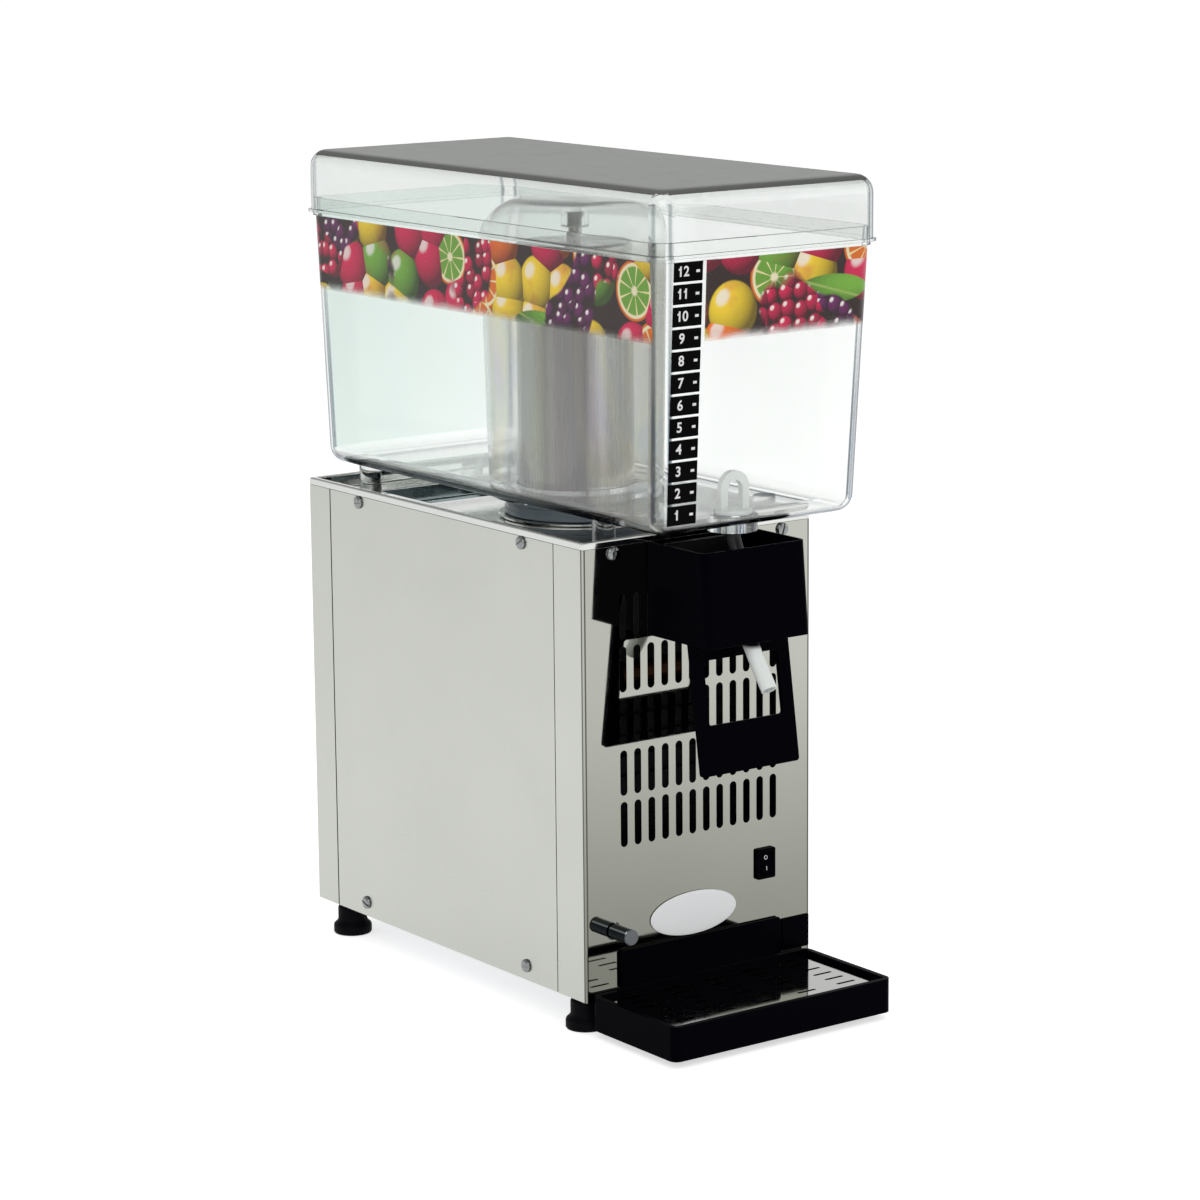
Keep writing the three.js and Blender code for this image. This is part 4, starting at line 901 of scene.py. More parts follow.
@once
def spout_silicone(name):
    """White silicone, painted black as shade where the tube sits inside the tap cover."""
    def base(tree):
        # Painted shade: black above the cover's lower edge.
        share = above(tree, point_parts(tree)["Z"], 250.5, 253)
        return blend(tree, share, colour_of("silicone"), colour_of("black"))

    return moulded(name, base, 0.35, 900.0, 0.004, 0.15, 0.08, **{"Specular IOR Level": 0.3})


# Copper darkened to near black as painted shade inside the casing.
@once
def copper(name):
    return steel(name, (0.045, 0.02, 0.011, 1.0), (120.0, 120.0, 120.0), 0.42, 0.15, 0.3, 0.12, 0.003)


@once
def black_enamel(name):
    return moulded(name, (0.003, 0.003, 0.0035, 1.0), 0.5, 500.0, 0.02, 0.2, 0.3,
                   **{"Specular IOR Level": 0.1})


@once
def aluminium(name):
    return steel(name, (0.55, 0.56, 0.57, 1.0), (600.0, 600.0, 600.0), 0.40, 0.15, 0.2, 0.1, 0.004)


@once
def white_enamel(name):
    return moulded(name, colour_of("badge"), 0.22, 800.0, 0.001, 0.05, 0.02)


@once
def grey_plastic(name):
    return moulded(name, (0.13, 0.14, 0.15, 1.0), 0.35, 1500.0, 0.003, 0.1, 0.08)


@once
def scale_black(name):
    return moulded(name, colour_of("mark"), 0.38, 1200.0, 0.002, 0.08, 0.2,
                   **{"Specular IOR Level": 0.02})


@once
def scale_white(name):
    return moulded(name, (0.86, 0.86, 0.86, 1.0), 0.4, 1200.0, 0.001, 0.05, 0.04)


def fruit_pile():
    """A pile of round fruit, berries, citrus slices and leaves, as colour from a flat pattern."""
    def ball(tree, local, lean=(-0.45, 0.5)):
        """Light and shade of a ball that fills a cell, from the place inside it."""
        parts = split(tree, local)
        reach = put(tree, "VectorMath", {0: local}, operation="LENGTH").outputs["Value"]
        square = maths(tree, "MULTIPLY", reach, reach)
        depth = maths(tree, "SQRT", maths(tree, "SUBTRACT", 1.0, square, clamp=True))
        lit = maths(tree, "MULTIPLY_ADD", parts["X"], lean[0], maths(tree, "MULTIPLY", depth, 0.76))
        lit = maths(tree, "MULTIPLY_ADD", parts["Y"], lean[1], lit)
        return reach, maths(tree, "MAXIMUM", lit, 0.0), parts

    def cells(tree, point, scale, fill):
        """Packed cells: the random colour of each, and the place inside it."""
        cell = put(tree, "TexVoronoi", {"Vector": point, "Scale": scale, "Randomness": 0.75},
                   voronoi_dimensions="2D")
        offset = put(tree, "VectorMath", {0: point, 1: cell.outputs["Position"]}, operation="SUBTRACT")
        local = put(tree, "VectorMath", {0: offset.outputs[0], "Scale": maths(
            tree, "MULTIPLY", scale, 1 / fill)}, operation="SCALE").outputs[0]
        return put(tree, "SeparateColor", {0: cell.outputs["Color"]}).outputs, local

    def lit_colour(tree, base, lit, gloss):
        shades = grey(tree, spread(tree, lit, 0.0, 1.0, 0.22, 1.30))
        spot = spread(tree, lit, 0.93, 1.0, 0.0, gloss, smooth=True)
        return blend(tree, spot, multiplied(tree, base, shades), (1.0, 0.96, 0.9, 1.0))

    def build(tree, given):
        point, scale = given["Vector"], given["Scale"]
        red, orange, yellow = given["Red"], given["Orange"], given["Yellow"]
        green, purple, dark = given["Green"], given["Purple"], given["Dark"]
        big, local = cells(tree, point, scale, 0.60)
        reach, lit, parts = ball(tree, local)
        pick = big["Red"]

        def over(at, low, high, under):
            chosen = maths(tree, "MULTIPLY", maths(tree, "GREATER_THAN", pick, low),
                           maths(tree, "LESS_THAN", pick, high))
            return blend(tree, chosen, under, at)

        base = over(orange, 0.0, 0.18, red)
        base = over(yellow, 0.18, 0.47, base)
        base = over(green, 0.48, 0.60, base)
        blush = noise(tree, point, maths(tree, "MULTIPLY", scale, 1.1), 3.0, 0.6)
        base = blend(tree, spread(tree, blush, 0.5, 0.75, 0.0, 0.6), base, red)
        fruit = lit_colour(tree, base, lit, 0.75)

        angle = maths(tree, "ARCTAN2", parts["Y"], parts["X"])
        spoke = maths(tree, "ABSOLUTE", maths(tree, "SINE", maths(tree, "MULTIPLY", angle, 4.5)))
        pulp = blend(tree, spread(tree, spoke, 0.12, 0.32, smooth=True), (0.92, 0.80, 0.42, 1.0),
                     blend(tree, maths(tree, "GREATER_THAN", big["Green"], 0.5), orange, green))
        pulp = blend(tree, spread(tree, reach, 0.12, 0.2), (0.92, 0.85, 0.55, 1.0), pulp)
        slice_face = blend(tree, spread(tree, reach, 0.78, 0.82), pulp, (0.93, 0.84, 0.52, 1.0))
        slice_face = blend(tree, spread(tree, reach, 0.90, 0.93), slice_face, orange)
        is_slice = maths(tree, "GREATER_THAN", big["Blue"], 0.80)
        fruit = blend(tree, is_slice, fruit, slice_face)
        fruit = blend(tree, spread(tree, reach, 0.96, 1.04, smooth=True), fruit, dark)

        tilted = mapped(tree, point, Rotation=(0.0, 0.0, 0.7), Scale=(0.42, 1.25, 1.0))
        leaf, leaf_local = cells(tree, tilted, scale, 0.42)
        leaf_reach, leaf_lit, leaf_parts = ball(tree, leaf_local, (0.2, 0.6))
        vein = spread(tree, maths(tree, "ABSOLUTE", leaf_parts["Y"]), 0.02, 0.09)
        leaf_tone = blend(tree, vein, (0.35, 0.5, 0.12, 1.0), lit_colour(tree, green, leaf_lit, 0.0))
        leaf_share = maths(tree, "MULTIPLY", maths(tree, "GREATER_THAN", leaf["Green"], 0.80),
                           spread(tree, leaf_reach, 0.92, 0.86))
        fruit = blend(tree, leaf_share, fruit, leaf_tone)

        berry, berry_local = cells(tree, point, maths(tree, "MULTIPLY", scale, 3.1), 0.58)
        berry_reach, berry_lit, _ = ball(tree, berry_local)
        where = noise(tree, point, maths(tree, "MULTIPLY", scale, 0.52), 1.0, 0.4)
        kind = noise(tree, point, maths(tree, "MULTIPLY", scale, 0.35), 0.0, 0.4)
        berry_base = blend(tree, maths(tree, "GREATER_THAN", kind, 0.5), purple, red)
        berry_base = blend(tree, spread(tree, berry["Red"], 0.5, 1.0, 0.0, 0.5), berry_base, dark)
        cluster = lit_colour(tree, berry_base, berry_lit, 0.9)
        cluster = blend(tree, spread(tree, berry_reach, 0.9, 1.1), cluster, dark)
        fruit = blend(tree, spread(tree, where, 0.555, 0.575), fruit, cluster)
        return {"Colour": fruit}

    given = [("Vector", "Vector", (0.0, 0.0, 0.0)), ("Scale", "Float", 40.0)]
    for label in ("Red", "Orange", "Yellow", "Green", "Purple", "Dark"):
        given.append((label, "Color", colour_of("print_" + label.lower())))
    return effect("fruit_pile", given, [("Colour", "Color")], build)


@once
def fruit_print(name):
    """The printed band: a generic fruit pile that fades out at its lower edge."""
    material, tree, shader = blank(name)
    parts = point_parts(tree)
    along = maths(tree, "SUBTRACT", parts["X"], parts["Y"])
    flat = put(tree, "CombineXYZ", {0: along, 1: parts["Z"]}).outputs[0]
    picture = use(tree, fruit_pile(), Vector=flat, Scale=1 / sizes().fruit)["Colour"]
    skin = use(tree, moulded_skin(), Colour=picture, Grain=900.0, Tone=0.1, Roughness=0.25, Marks=0.1)
    low = place(0, 0, PRINT_FOOT).z
    ragged = noise(tree, flat, 60.0, 2.0, 0.6)
    height = maths(tree, "MULTIPLY_ADD", ragged, 4 * MM, parts["Z"])
    dress(tree, shader, skin, 0.001, {
        "Alpha": spread(tree, height, low, low + 11 * MM, 0.0, 0.97, smooth=True), "IOR": 1.4})
    return material


# Casing

def folded_panel(y_face, flange, cutters):
    """A sheet folded round two upright corners, with its openings cut."""
    s = sizes()
    corner = node_box("front_panel")[1]
    half, top = corner.x, corner.z
    inner = y_face + flange
    piece = block(-half, half, min(y_face, inner), max(y_face, inner), 0, top)
    drop_faces(piece, lambda at, way: abs(way.z) > 0.9 or abs(at.y - inner) < 0.01)
    round_edges(piece, mm(s.bend), 5, lambda at, way: abs(way.z) > 0.9 and abs(at.y - y_face) < 0.01)
    sheet_from(piece, mm(s.sheet))
    cut(piece, *cutters)
    soften(piece, mm(s.edge), 2)
    return piece


class FrontPanel(bpy.types.Operator):
    """Mirror-polished front with its vents and the openings for switch, drain and tray"""

    bl_idname = "dispenser.front_panel"
    bl_label = "Front panel"

    def execute(self, context):
        vents = vent_cutter(12, 5, 107.4, 0)
        switch_hole = block(SWITCH_X - 7.5, SWITCH_X + 7.5, -5, 5, SWITCH_Z - 10.3, SWITCH_Z + 10.3)
        drain_hole = round_hole(6.4, DRAIN_X, 0, DRAIN_Z)
        tongue_holes = [block(x - 7.3, x + 7.3, -5, 5, 21.7, 27.3) for x in TONGUES]
        piece = folded_panel(0, 33.7, [vents, switch_hole, drain_hole, *tongue_holes])
        finish(piece, "front_sheet", "casing", "polished_steel", front_mirror(), "front_panel")
        give(piece, steel_lining(), lambda at, way: at.y > 0.4 and (way.y > 0.7 or at.x * way.x < -50))
        return {"FINISHED"}


class RearPanel(bpy.types.Operator):
    """Satin rear with its vents and the openings for mains inlet and thermostat"""

    bl_idname = "dispenser.rear_panel"
    bl_label = "Rear panel"

    def execute(self, context):
        vents = vent_cutter(9, 3, 150, DEPTH)
        inlet_hole = block(-69.3, -40.7, DEPTH - 5, DEPTH + 5, 35.2, 56.8)
        piece = folded_panel(DEPTH, -28.7, [vents, inlet_hole, round_hole(3.3, *KNOB)])
        finish(piece, "rear_sheet", "casing", "satin_steel", satin_steel(), "rear_panel")
        give(piece, steel_lining(),
             lambda at, way: at.y < DEPTH - 0.4 and (way.y < -0.7 or at.x * way.x < -50))
        return {"FINISHED"}


class SidePanels(bpy.types.Operator):
    """The two satin side panels"""

    bl_idname = "dispenser.side_panels"
    bl_label = "Side panels"

    def execute(self, context):
        for side, _ in SIDES:
            node = "side_panel_" + side
            low, high = node_box(node)
            piece = block(low.x, high.x, low.y + SEAM, high.y - SEAM, low.z, high.z)
            holes = [lay(rod(0, 0, -4, 4, 2.35, 24), (0, 90, 0), (low.x + high.x) / 2, y, z)
                     for _, y in SCREW_ENDS for _, z in SCREW_LEVELS]
            cut(piece, *holes)
            soften(piece, mm(sizes().edge) * 1.4, 2)
            finish(piece, "side_sheet_" + side, "casing", "satin_steel", satin_steel(), node)
            give(piece, steel_lining(), lambda at, way: at.x * way.x < -50)
        return {"FINISHED"}


class TopTray(bpy.types.Operator):
    """Pressed top: a rim with a folded lip, a pan and a deeper well at the back"""

    bl_idname = "dispenser.top_tray"
    bl_label = "Top tray"

    def execute(self, context):
        s = sizes()
        lip = arc(1.5, 324.9, 1.5, 180, 90) + arc(3.5, 324.9, 1.5, 90, 0)
        piece = pressed((-100, 100, 0, DEPTH), mm(s.bend),
                        [(0, 321.4)] + lip + arc(6.0, 317.4, 1.0, 180, 270))
        well = arc(-1.0, 315.4, 1.0, 90, 0) + arc(1.0, 305.4, 1.0, 180, 270)
        join([piece, pressed((-60, 60, 245, 315), 3.0, well)])
        with editing(piece):
            choose(piece, "VERT", lambda at, way: abs(at.z - 304.4) < 0.01)
            bpy.ops.mesh.edge_face_add()
            choose(piece, "EDGE", lambda at, way: abs(at.z - 316.4) < 0.01 and abs(way.z) < 0.1)
            bpy.ops.mesh.bridge_edge_loops()
            bpy.ops.mesh.select_all(action="SELECT")
            bpy.ops.mesh.normals_make_consistent(inside=False)
        sheet_from(piece, mm(s.sheet))
        cut(piece, rod(0, MIXER_Y, 300, 330, 38, 96), rod(-45, 300, 290, 310, 3.6, 32))
        outlet = turned(-45, 300, [(3.6, 303.2), (5.0, 303.2), (5.0, 289.2), (3.6, 289.2)], 32)
        join([piece, outlet])
        soften(piece, 0.2, 1, 60)
        finish(piece, "tray_pressing", "casing", "polished_steel", tray_steel(), "top_tray")
        skirt = block(-98.5, 98.5, 1.5, DEPTH - 1.5, 295.4, 321.4)
        drop_faces(skirt, lambda at, way: abs(way.z) > 0.9)
        sheet_from(skirt, mm(s.sheet))
        finish(skirt, "tray_skirt", "casing", "satin_steel", zinc_steel())
        return {"FINISHED"}


class Screws(bpy.types.Operator):
    """Slotted pan-head screws on the sides and the front"""

    bl_idname = "dispenser.screws"
    bl_label = "Screws"

    def execute(self, context):
        head = turned(0, 0, [(0, -3.2), (2.0, -3.2), (2.0, 0.3), (4.8, 0.3), (4.8, 1.1), (4.45, 1.75),
                             (3.6, 2.25), (2.0, 2.5), (0, 2.5)], 48)
        cut(head, block(-0.65, 0.65, -6, 6, 1.3, 4))
        soften(head, 0.15, 2, 35)
        slot_turns = iter((12, -20, 35, 4, -8, 28, -33, 17, 40, -15))
        for side, sign in SIDES:
            for level, z in SCREW_LEVELS:
                for end, y in SCREW_ENDS:
                    node = f"side_screw_{side}_{level}_{end}"
                    screw = copy_of(head, (0, 0, next(slot_turns)), 0, 0, 0)
                    lay(screw, (0, 90 * sign, 0), 100 * sign, y, z)
                    finish(screw, node + "_head", "casing", "screw_steel", screw_steel(), node)
            node = "front_screw_" + side
            screw = copy_of(head, (0, 0, next(slot_turns)), 0, 0, 0)
            lay(screw, (90, 0, 0), FRONT_SCREW_X * sign, 0, SCREW_LEVELS[1][1])
            finish(screw, node + "_head", "casing", "screw_steel", screw_steel(), node)
        bpy.data.objects.remove(head, do_unlink=True)
        return {"FINISHED"}


class Feet(bpy.types.Operator):
    """Flared rubber feet on metal studs"""

    bl_idname = "dispenser.feet"
    bl_label = "Feet"

    def execute(self, context):
        pad_profile = [(0, -24.5), (12.6, -24.5), (13.8, -24.2), (14.5, -23.2), (14.5, -18.4),
                       (14.1, -17.2), (12.6, -15.9), (11.5, -14.6), (11.0, -13.0), (11.0, -4.6),
                       (10.5, -3.7), (9.6, -3.3), (0, -3.3)]
        stud_profile = [(0, -3.3), (8.4, -3.3), (8.6, -3.1), (8.6, -2.2), (8.4, -2.0), (4.6, -2.0),
                        (4.6, -0.2), (0, -0.2)]
        for end in ENDS:
            for side, _ in SIDES:
                node = f"foot_{end}_{side}"
                low, high = node_box(node)
                x, y = (low.x + high.x) / 2, (low.y + high.y) / 2
                pad = turned(x, y, pad_profile, 64)
                finish(pad, node + "_pad", "casing", "black_rubber", black_rubber(), node)
                stud = turned(x, y, stud_profile, 48)
                finish(stud, node + "_stud", "casing", "screw_steel", screw_steel())
        return {"FINISHED"}


# Bowl and lid

def tapered_tub(grow):
    """The bowl's outer shell, open above, grown outwards by some millimetres."""
    foot_half, top_half = 87, 92.3
    foot_rear, top_rear = 347.8, 353.7
    top_front = BOWL_FRONT - BOWL_LEAN
    foot_middle = (BOWL_FRONT + foot_rear) / 2
    piece = block(-foot_half, foot_half, BOWL_FRONT, foot_rear, BOWL_FOOT, BOWL_TOP)
    with editing(piece):
        choose(piece, "FACE", lambda at, way: way.z > 0.9)
        wider = (top_half / foot_half, (top_rear - top_front) / (foot_rear - BOWL_FRONT), 1)
        bpy.ops.transform.resize(value=wider, center_override=place(0, foot_middle, BOWL_TOP))
        bpy.ops.transform.translate(value=(0, (RIM_MIDDLE[1] - foot_middle) * MM, 0))
        bpy.ops.mesh.delete(type="FACE")
    round_edges(piece, mm(sizes().bowl_corner), 10,
                lambda at, way: abs(way.z) > 0.9 or at.z < BOWL_FOOT + 0.1)
    if grow:
        with editing(piece):
            bpy.ops.transform.shrink_fatten(value=grow * MM)
    return piece


def rim(piece, z0, z1, reach):
    """Pushes a band of the outer wall outwards, as a flange."""
    with editing(piece):
        for z in (z0, z1):
            bpy.ops.mesh.select_all(action="SELECT")
            bpy.ops.mesh.bisect(plane_co=place(0, 0, z), plane_no=(0, 0, 1))
        choose(piece, "FACE", lambda at, way: z0 < at.z < z1 and abs(way.z) < 0.2
               and way.dot(at - Vector(RIM_MIDDLE)) > 0)
        bpy.ops.mesh.extrude_region_shrink_fatten(TRANSFORM_OT_shrink_fatten={"value": reach * MM})
    return piece


class Bowl(bpy.types.Operator):
    """Clear tapered bowl with its rim flange, boss, outlet and four posts"""

    bl_idname = "dispenser.bowl"
    bl_label = "Bowl"

    def execute(self, context):
        piece = tapered_tub(0)
        sheet_from(piece, mm(sizes().bowl_wall))
        rim(piece, 523.4, 525.4, 2.2)
        posts = [rod(x, y, 316.7, 338.5, 8.2) for x in (-70, 70) for y in (16, 311)]
        boss = turned(0, MIXER_Y, [(0, 331.6), (62.5, 331.6), (64, 333.1), (64, 338.5), (0, 338.5)], 96)
        add(piece, boss, rod(0, OUTLET_Y, 330.1, 338.5, 17.5, 64), *posts)
        cut(piece, rod(0, MIXER_Y, 325, 345, 43.4, 96), rod(0, OUTLET_Y, 325, 345, 6.3, 40))
        soften(piece, 0.6, 2, 50)
        finish(piece, "bowl_shell", "bowl", "clear_plastic", clear_plastic(), "bowl", angle=40)
        give(piece, clear_corner(), lambda at, way: min(abs(way.x), abs(way.y)) > 0.12
             or 0.15 < abs(way.z) < 0.9)
        give(piece, clear_floor(), lambda at, way: abs(way.z) >= 0.9 and at.z < 345)
        give(piece, clear_post(), lambda at, way: at.z < 336.9 and abs(at.x) > 60)
        piece.visible_shadow = False
        return {"FINISHED"}


class Lid(bpy.types.Operator):
    """Clear lid with a matt top and a small lip"""

    bl_idname = "dispenser.lid"
    bl_label = "Lid"

    def execute(self, context):
        s = sizes()
        top, lip_top = node_box("lid")[1].z, 527.9
        piece = block(-94.6, 94.6, -82.6, 356.0, 525.7, top)
        drop_faces(piece, lambda at, way: way.z < -0.9)
        round_edges(piece, mm(s.lid_round), 10, lambda at, way: abs(way.z) > 0.9 or at.z > top - 0.1)
        sheet_from(piece, mm(s.lid_wall))
        with editing(piece):
            bpy.ops.mesh.bisect(plane_co=place(0, 0, lip_top), plane_no=(0, 0, 1))
            choose(piece, "FACE", lambda at, way: at.z < lip_top and abs(way.z) < 0.2
                   and way.dot(Vector((at.x, at.y, 0)) - Vector(RIM_MIDDLE)) > 0)
            bpy.ops.mesh.extrude_region_shrink_fatten(TRANSFORM_OT_shrink_fatten={"value": 2.1 * MM})
        soften(piece, 0.4, 2, 50)
        finish(piece, "lid_shell", "lid", "clear_plastic", lid_plastic(), "lid", angle=40)
        give(piece, clear_corner(), lambda at, way: min(abs(way.x), abs(way.y)) > 0.12)
        give(piece, lid_top(), lambda at, way: at.z > top - 7 and way.z > 0.75)
        piece.visible_shadow = False
        return {"FINISHED"}


def lean_on_front(piece):
    """Leans a piece that was made upright against the bowl's front, from the foot of the scale."""
    slope = BOWL_LEAN / (BOWL_TOP - BOWL_FOOT)
    wall = BOWL_FRONT - slope * (SCALE_FOOT - BOWL_FOOT)
    return lay(piece, (math.degrees(math.atan(slope)), 0, 0), SCALE_X, wall - 0.05, SCALE_FOOT)


def numeral(number, z):
    """One flat numeral, upright on the panel frame's front plane."""
    size = sizes().numeral
    bpy.ops.object.text_add()
    text = bpy.context.object.data
    text.body = str(number)
    text.size = size
    text.align_x = "CENTER"
    text.align_y = "CENTER"
    text.offset = 0.021 * size
    text.extrude = 0.04 * MM
    activate(bpy.context.object)
    bpy.ops.object.convert(target="MESH")
    figure = bpy.context.object
    figure.matrix_world = Matrix.Translation(place(-3.9, -0.16, z)) @ Euler(
        (math.radians(90), 0, 0)).to_matrix().to_4x4()
    settle(figure)
    with editing(figure):
        bpy.ops.mesh.remove_doubles(threshold=0.002 * MM)
        bpy.ops.mesh.normals_make_consistent(inside=False)
    return figure


def flags_of(figure, number, z):
    """The slanted strokes at the heads of a numeral's ones."""
    across = [panel(vertex.co).x for vertex in figure.data.vertices]
    ones = [min(across)] if number in (1, 10, 11, 12) else []
    if number == 11:
        ones.append(max(across) - 1.25)
    return [lay(block(-1.75, 0.15, -0.2, -0.12, -0.55, 0.55), (0, -38, 0), x + 0.35, 0, z + 2.45)
            for x in ones]


class LevelScale(bpy.types.Operator):
    """Black squares with white numerals from 1 to 12 on the bowl's front"""

    bl_idname = "dispenser.level_scale"
    bl_label = "Level scale"

    def execute(self, context):
        height = mm(sizes().mark_height)
        pitch = (SCALE_TOP - SCALE_FOOT - height) / 11
        square = block(-12.15, 12.15, -0.12, 0, 0, height)
        round_edges(square, 0.5, 3, lambda at, way: abs(way.y) > 0.9)
        lean_on_front(repeat(square, 12, (0, 0, pitch)))
        finish(square, "level_squares", "bowl", "clear_plastic", scale_black())
        strokes = []
        for number in range(1, 13):
            z = (number - 1) * pitch + height / 2
            figure = numeral(number, z)
            strokes += [figure, *flags_of(figure, number, z)]
            strokes.append(block(6.6, 9.6, -0.2, -0.12, z - 0.9, z + 0.9))
        marks = lean_on_front(join(strokes))
        finish(marks, "level_numerals", "bowl", "white_plastic", scale_white())
        return {"FINISHED"}


class FruitPrint(bpy.types.Operator):
    """Printed band of generic fruit on the bowl's left side and front"""

    bl_idname = "dispenser.fruit_print"
    bl_label = "Fruit print"

    def execute(self, context):
        side_front, front_left, front_right = -68, -53.5, 88
        cuts = [((0, 0, PRINT_FOOT), (0, 0, 1)), ((0, 0, PRINT_TOP), (0, 0, 1)),
                ((front_left, 0, 0), (1, 0, 0)), ((front_right, 0, 0), (1, 0, 0)),
                ((0, side_front, 0), (0, 1, 0))]
        for name, keeps in (
                ("print_side", lambda at: at.x < 0 and side_front < at.y < 352.5),
                ("print_front", lambda at: front_left < at.x < front_right and at.y < 0)):
            piece = tapered_tub(0.06)
            with editing(piece):
                for at, way in cuts:
                    bpy.ops.mesh.select_all(action="SELECT")
                    bpy.ops.mesh.bisect(plane_co=place(*at), plane_no=way)
                choose(piece, "FACE",
                       lambda at, way: not (PRINT_FOOT < at.z < PRINT_TOP and keeps(at)))
                bpy.ops.mesh.delete(type="FACE")
            modify(piece, "SOLIDIFY", thickness=0.05 * MM, offset=1.0)
            finish(piece, name, "bowl", "clear_plastic", fruit_print())
        return {"FINISHED"}


# Cooler and mixer

class Cooler(bpy.types.Operator):
    """Cooling can, the rubber collar round its foot, and the mixer's shaft"""

    bl_idname = "dispenser.cooler"
    bl_label = "Cooler"

    def execute(self, context):
        can = turned(0, MIXER_Y, [
            (4.7, 316.7), (6.6, 316.7), (6.6, 512.8), (39.0, 512.8), (40.5, 511.3), (40.5, 318.2),
            (57.6, 316.7), (58, 317.1), (58, 318.3), (57.6, 318.7), (43.2, 318.7), (42.3, 319.3),
            (42, 320.4), (42, 511.0), (41.6, 512.6), (40.5, 513.6), (39, 514.0), (4.7, 514.0)], 96)
        finish(can, "cooling_can", "casing", "satin_steel", cooler_steel(), "evaporator")
        give(can, polished_steel(), lambda at, way: at.z < 319.2)
        ring = turned(0, MIXER_Y, [
            (42.3, 319.0), (53.4, 319.0), (54, 319.6), (54, 322.5), (52.9, 323.3), (52.9, 327),
            (54, 327.8), (54, 330.7), (53.4, 331.3), (42.3, 331.3)], 96)
        finish(ring, "sealing_collar", "casing", "black_rubber", collar_rubber(), "bowl_collar")
        shaft = turned(0, MIXER_Y, [
            (0, 294.9), (4, 294.9), (4, 514.3), (4.7, 514.3), (5, 514.6), (5, 535.5), (4.2, 536.3),
            (0, 536.3)], 40)
        finish(shaft, "mixer_spindle", "mixer_drive", "satin_steel", satin_steel(), "mixer_shaft")
        return {"FINISHED"}


class MixerBell(bpy.types.Operator):
    """Hazy bell that turns round the cooling can"""

    bl_idname = "dispenser.mixer_bell"
    bl_label = "Mixer bell"

    def execute(self, context):
        wall = mm(sizes().bell_wall)
        top, shoulder, radius = 544.6, 515.0, 67.5
        foot, foot_radius = 346.0, 63.5
        curve = top - shoulder

        def crown(inset):
            return [(radius - curve + (curve - inset) * math.cos(math.radians(angle)),
                     shoulder + (curve - inset) * math.sin(math.radians(angle)))
                    for angle in range(0, 91, 9)]

        profile = [(0, 536.6), (5.3, 536.6), (5.3, 524.6), (9.6, 524.6), (10, 525.0), (10, top - wall),
                   *reversed(crown(wall)), (foot_radius - wall, foot), (foot_radius, foot), *crown(0),
                   (0, top)]
        piece = turned(0, MIXER_Y, profile, 128)
        finish(piece, "bell_shell", "mixer", "frosted_plastic", bell_plastic(), "mixer_bell")
        piece.visible_shadow = False
        return {"FINISHED"}


# Tap

class TapCover(bpy.types.Operator):
    """Black cover round the tap, open above and below"""

    bl_idname = "dispenser.tap_cover"
    bl_label = "Tap cover"

    def execute(self, context):
        piece = block(-45, 45, -69, -0.3, 255.8, 321.5)
        with editing(piece):
            choose(piece, "EDGE", lambda at, way: at.y < -68 and at.z > 321)
            bpy.ops.transform.translate(value=(0, 6 * MM, 0))
        drop_faces(piece, lambda at, way: abs(way.z) > 0.9 or way.y > 0.9)
        round_edges(piece, 5, 8, lambda at, way: abs(way.z) > 0.9 and at.y < -60)
        sheet_from(piece, mm(sizes().cover_wall))
        add(piece, block(-12.8, 12.8, -66.4, -60.2, 270, 280))
        soften(piece, 0.5, 2, 50)
        finish(piece, "cover_shell", "casing", "black_plastic", black_plastic(), "tap_cover")
        return {"FINISHED"}


class Lever(bpy.types.Operator):
    """Black push lever with its window, leaning forward from its pivot"""

    bl_idname = "dispenser.lever"
    bl_label = "Lever"

    def execute(self, context):
        lean, foot_drop, sill_rise, window_height = 8.6, 135.5, 34, 44.5
        pin_y, pin_z = -37, 300
        along, tan = math.cos(math.radians(lean)), math.tan(math.radians(lean))
        foot, sill = -foot_drop / along, (sill_rise - foot_drop) / along
        piece = block(-42.5, 42.5, -1.8, 1.8, foot, -12)
        round_edges(piece, 2.5, 5, lambda at, way: abs(way.y) > 0.9)
        window = block(-32.5, 32.5, -6, 6, sill, sill + window_height / along)
        round_edges(window, 2, 5, lambda at, way: abs(way.y) > 0.9)
        cut(piece, window)
        rib_drop = 25
        rib_front = HOSE_Y + HOSE_RADIUS + 0.6
        rib_reach = (pin_y - rib_drop * tan - rib_front) * along
        rib = block(-11, 11, -rib_reach, 0, -rib_drop / along - 3.5, -rib_drop / along + 3.5)
        barrel = lay(rod(0, 0, -17, 17, 5), (0, 90, 0), 0, 0, 0)
        add(piece, block(-17, 17, -1.8, 1.8, -14, 0), barrel, rib)
        cut(piece, lay(rod(0, 0, -20, 20, 2.8), (0, 90, 0), 0, 0, 0))
        soften(piece, 0.5, 2, 50)
        lay(piece, (-lean, 0, 0), 0, pin_y, pin_z)
        finish(piece, "lever_plate", "lever", "black_plastic", black_plastic(), "lever")
        return {"FINISHED"}


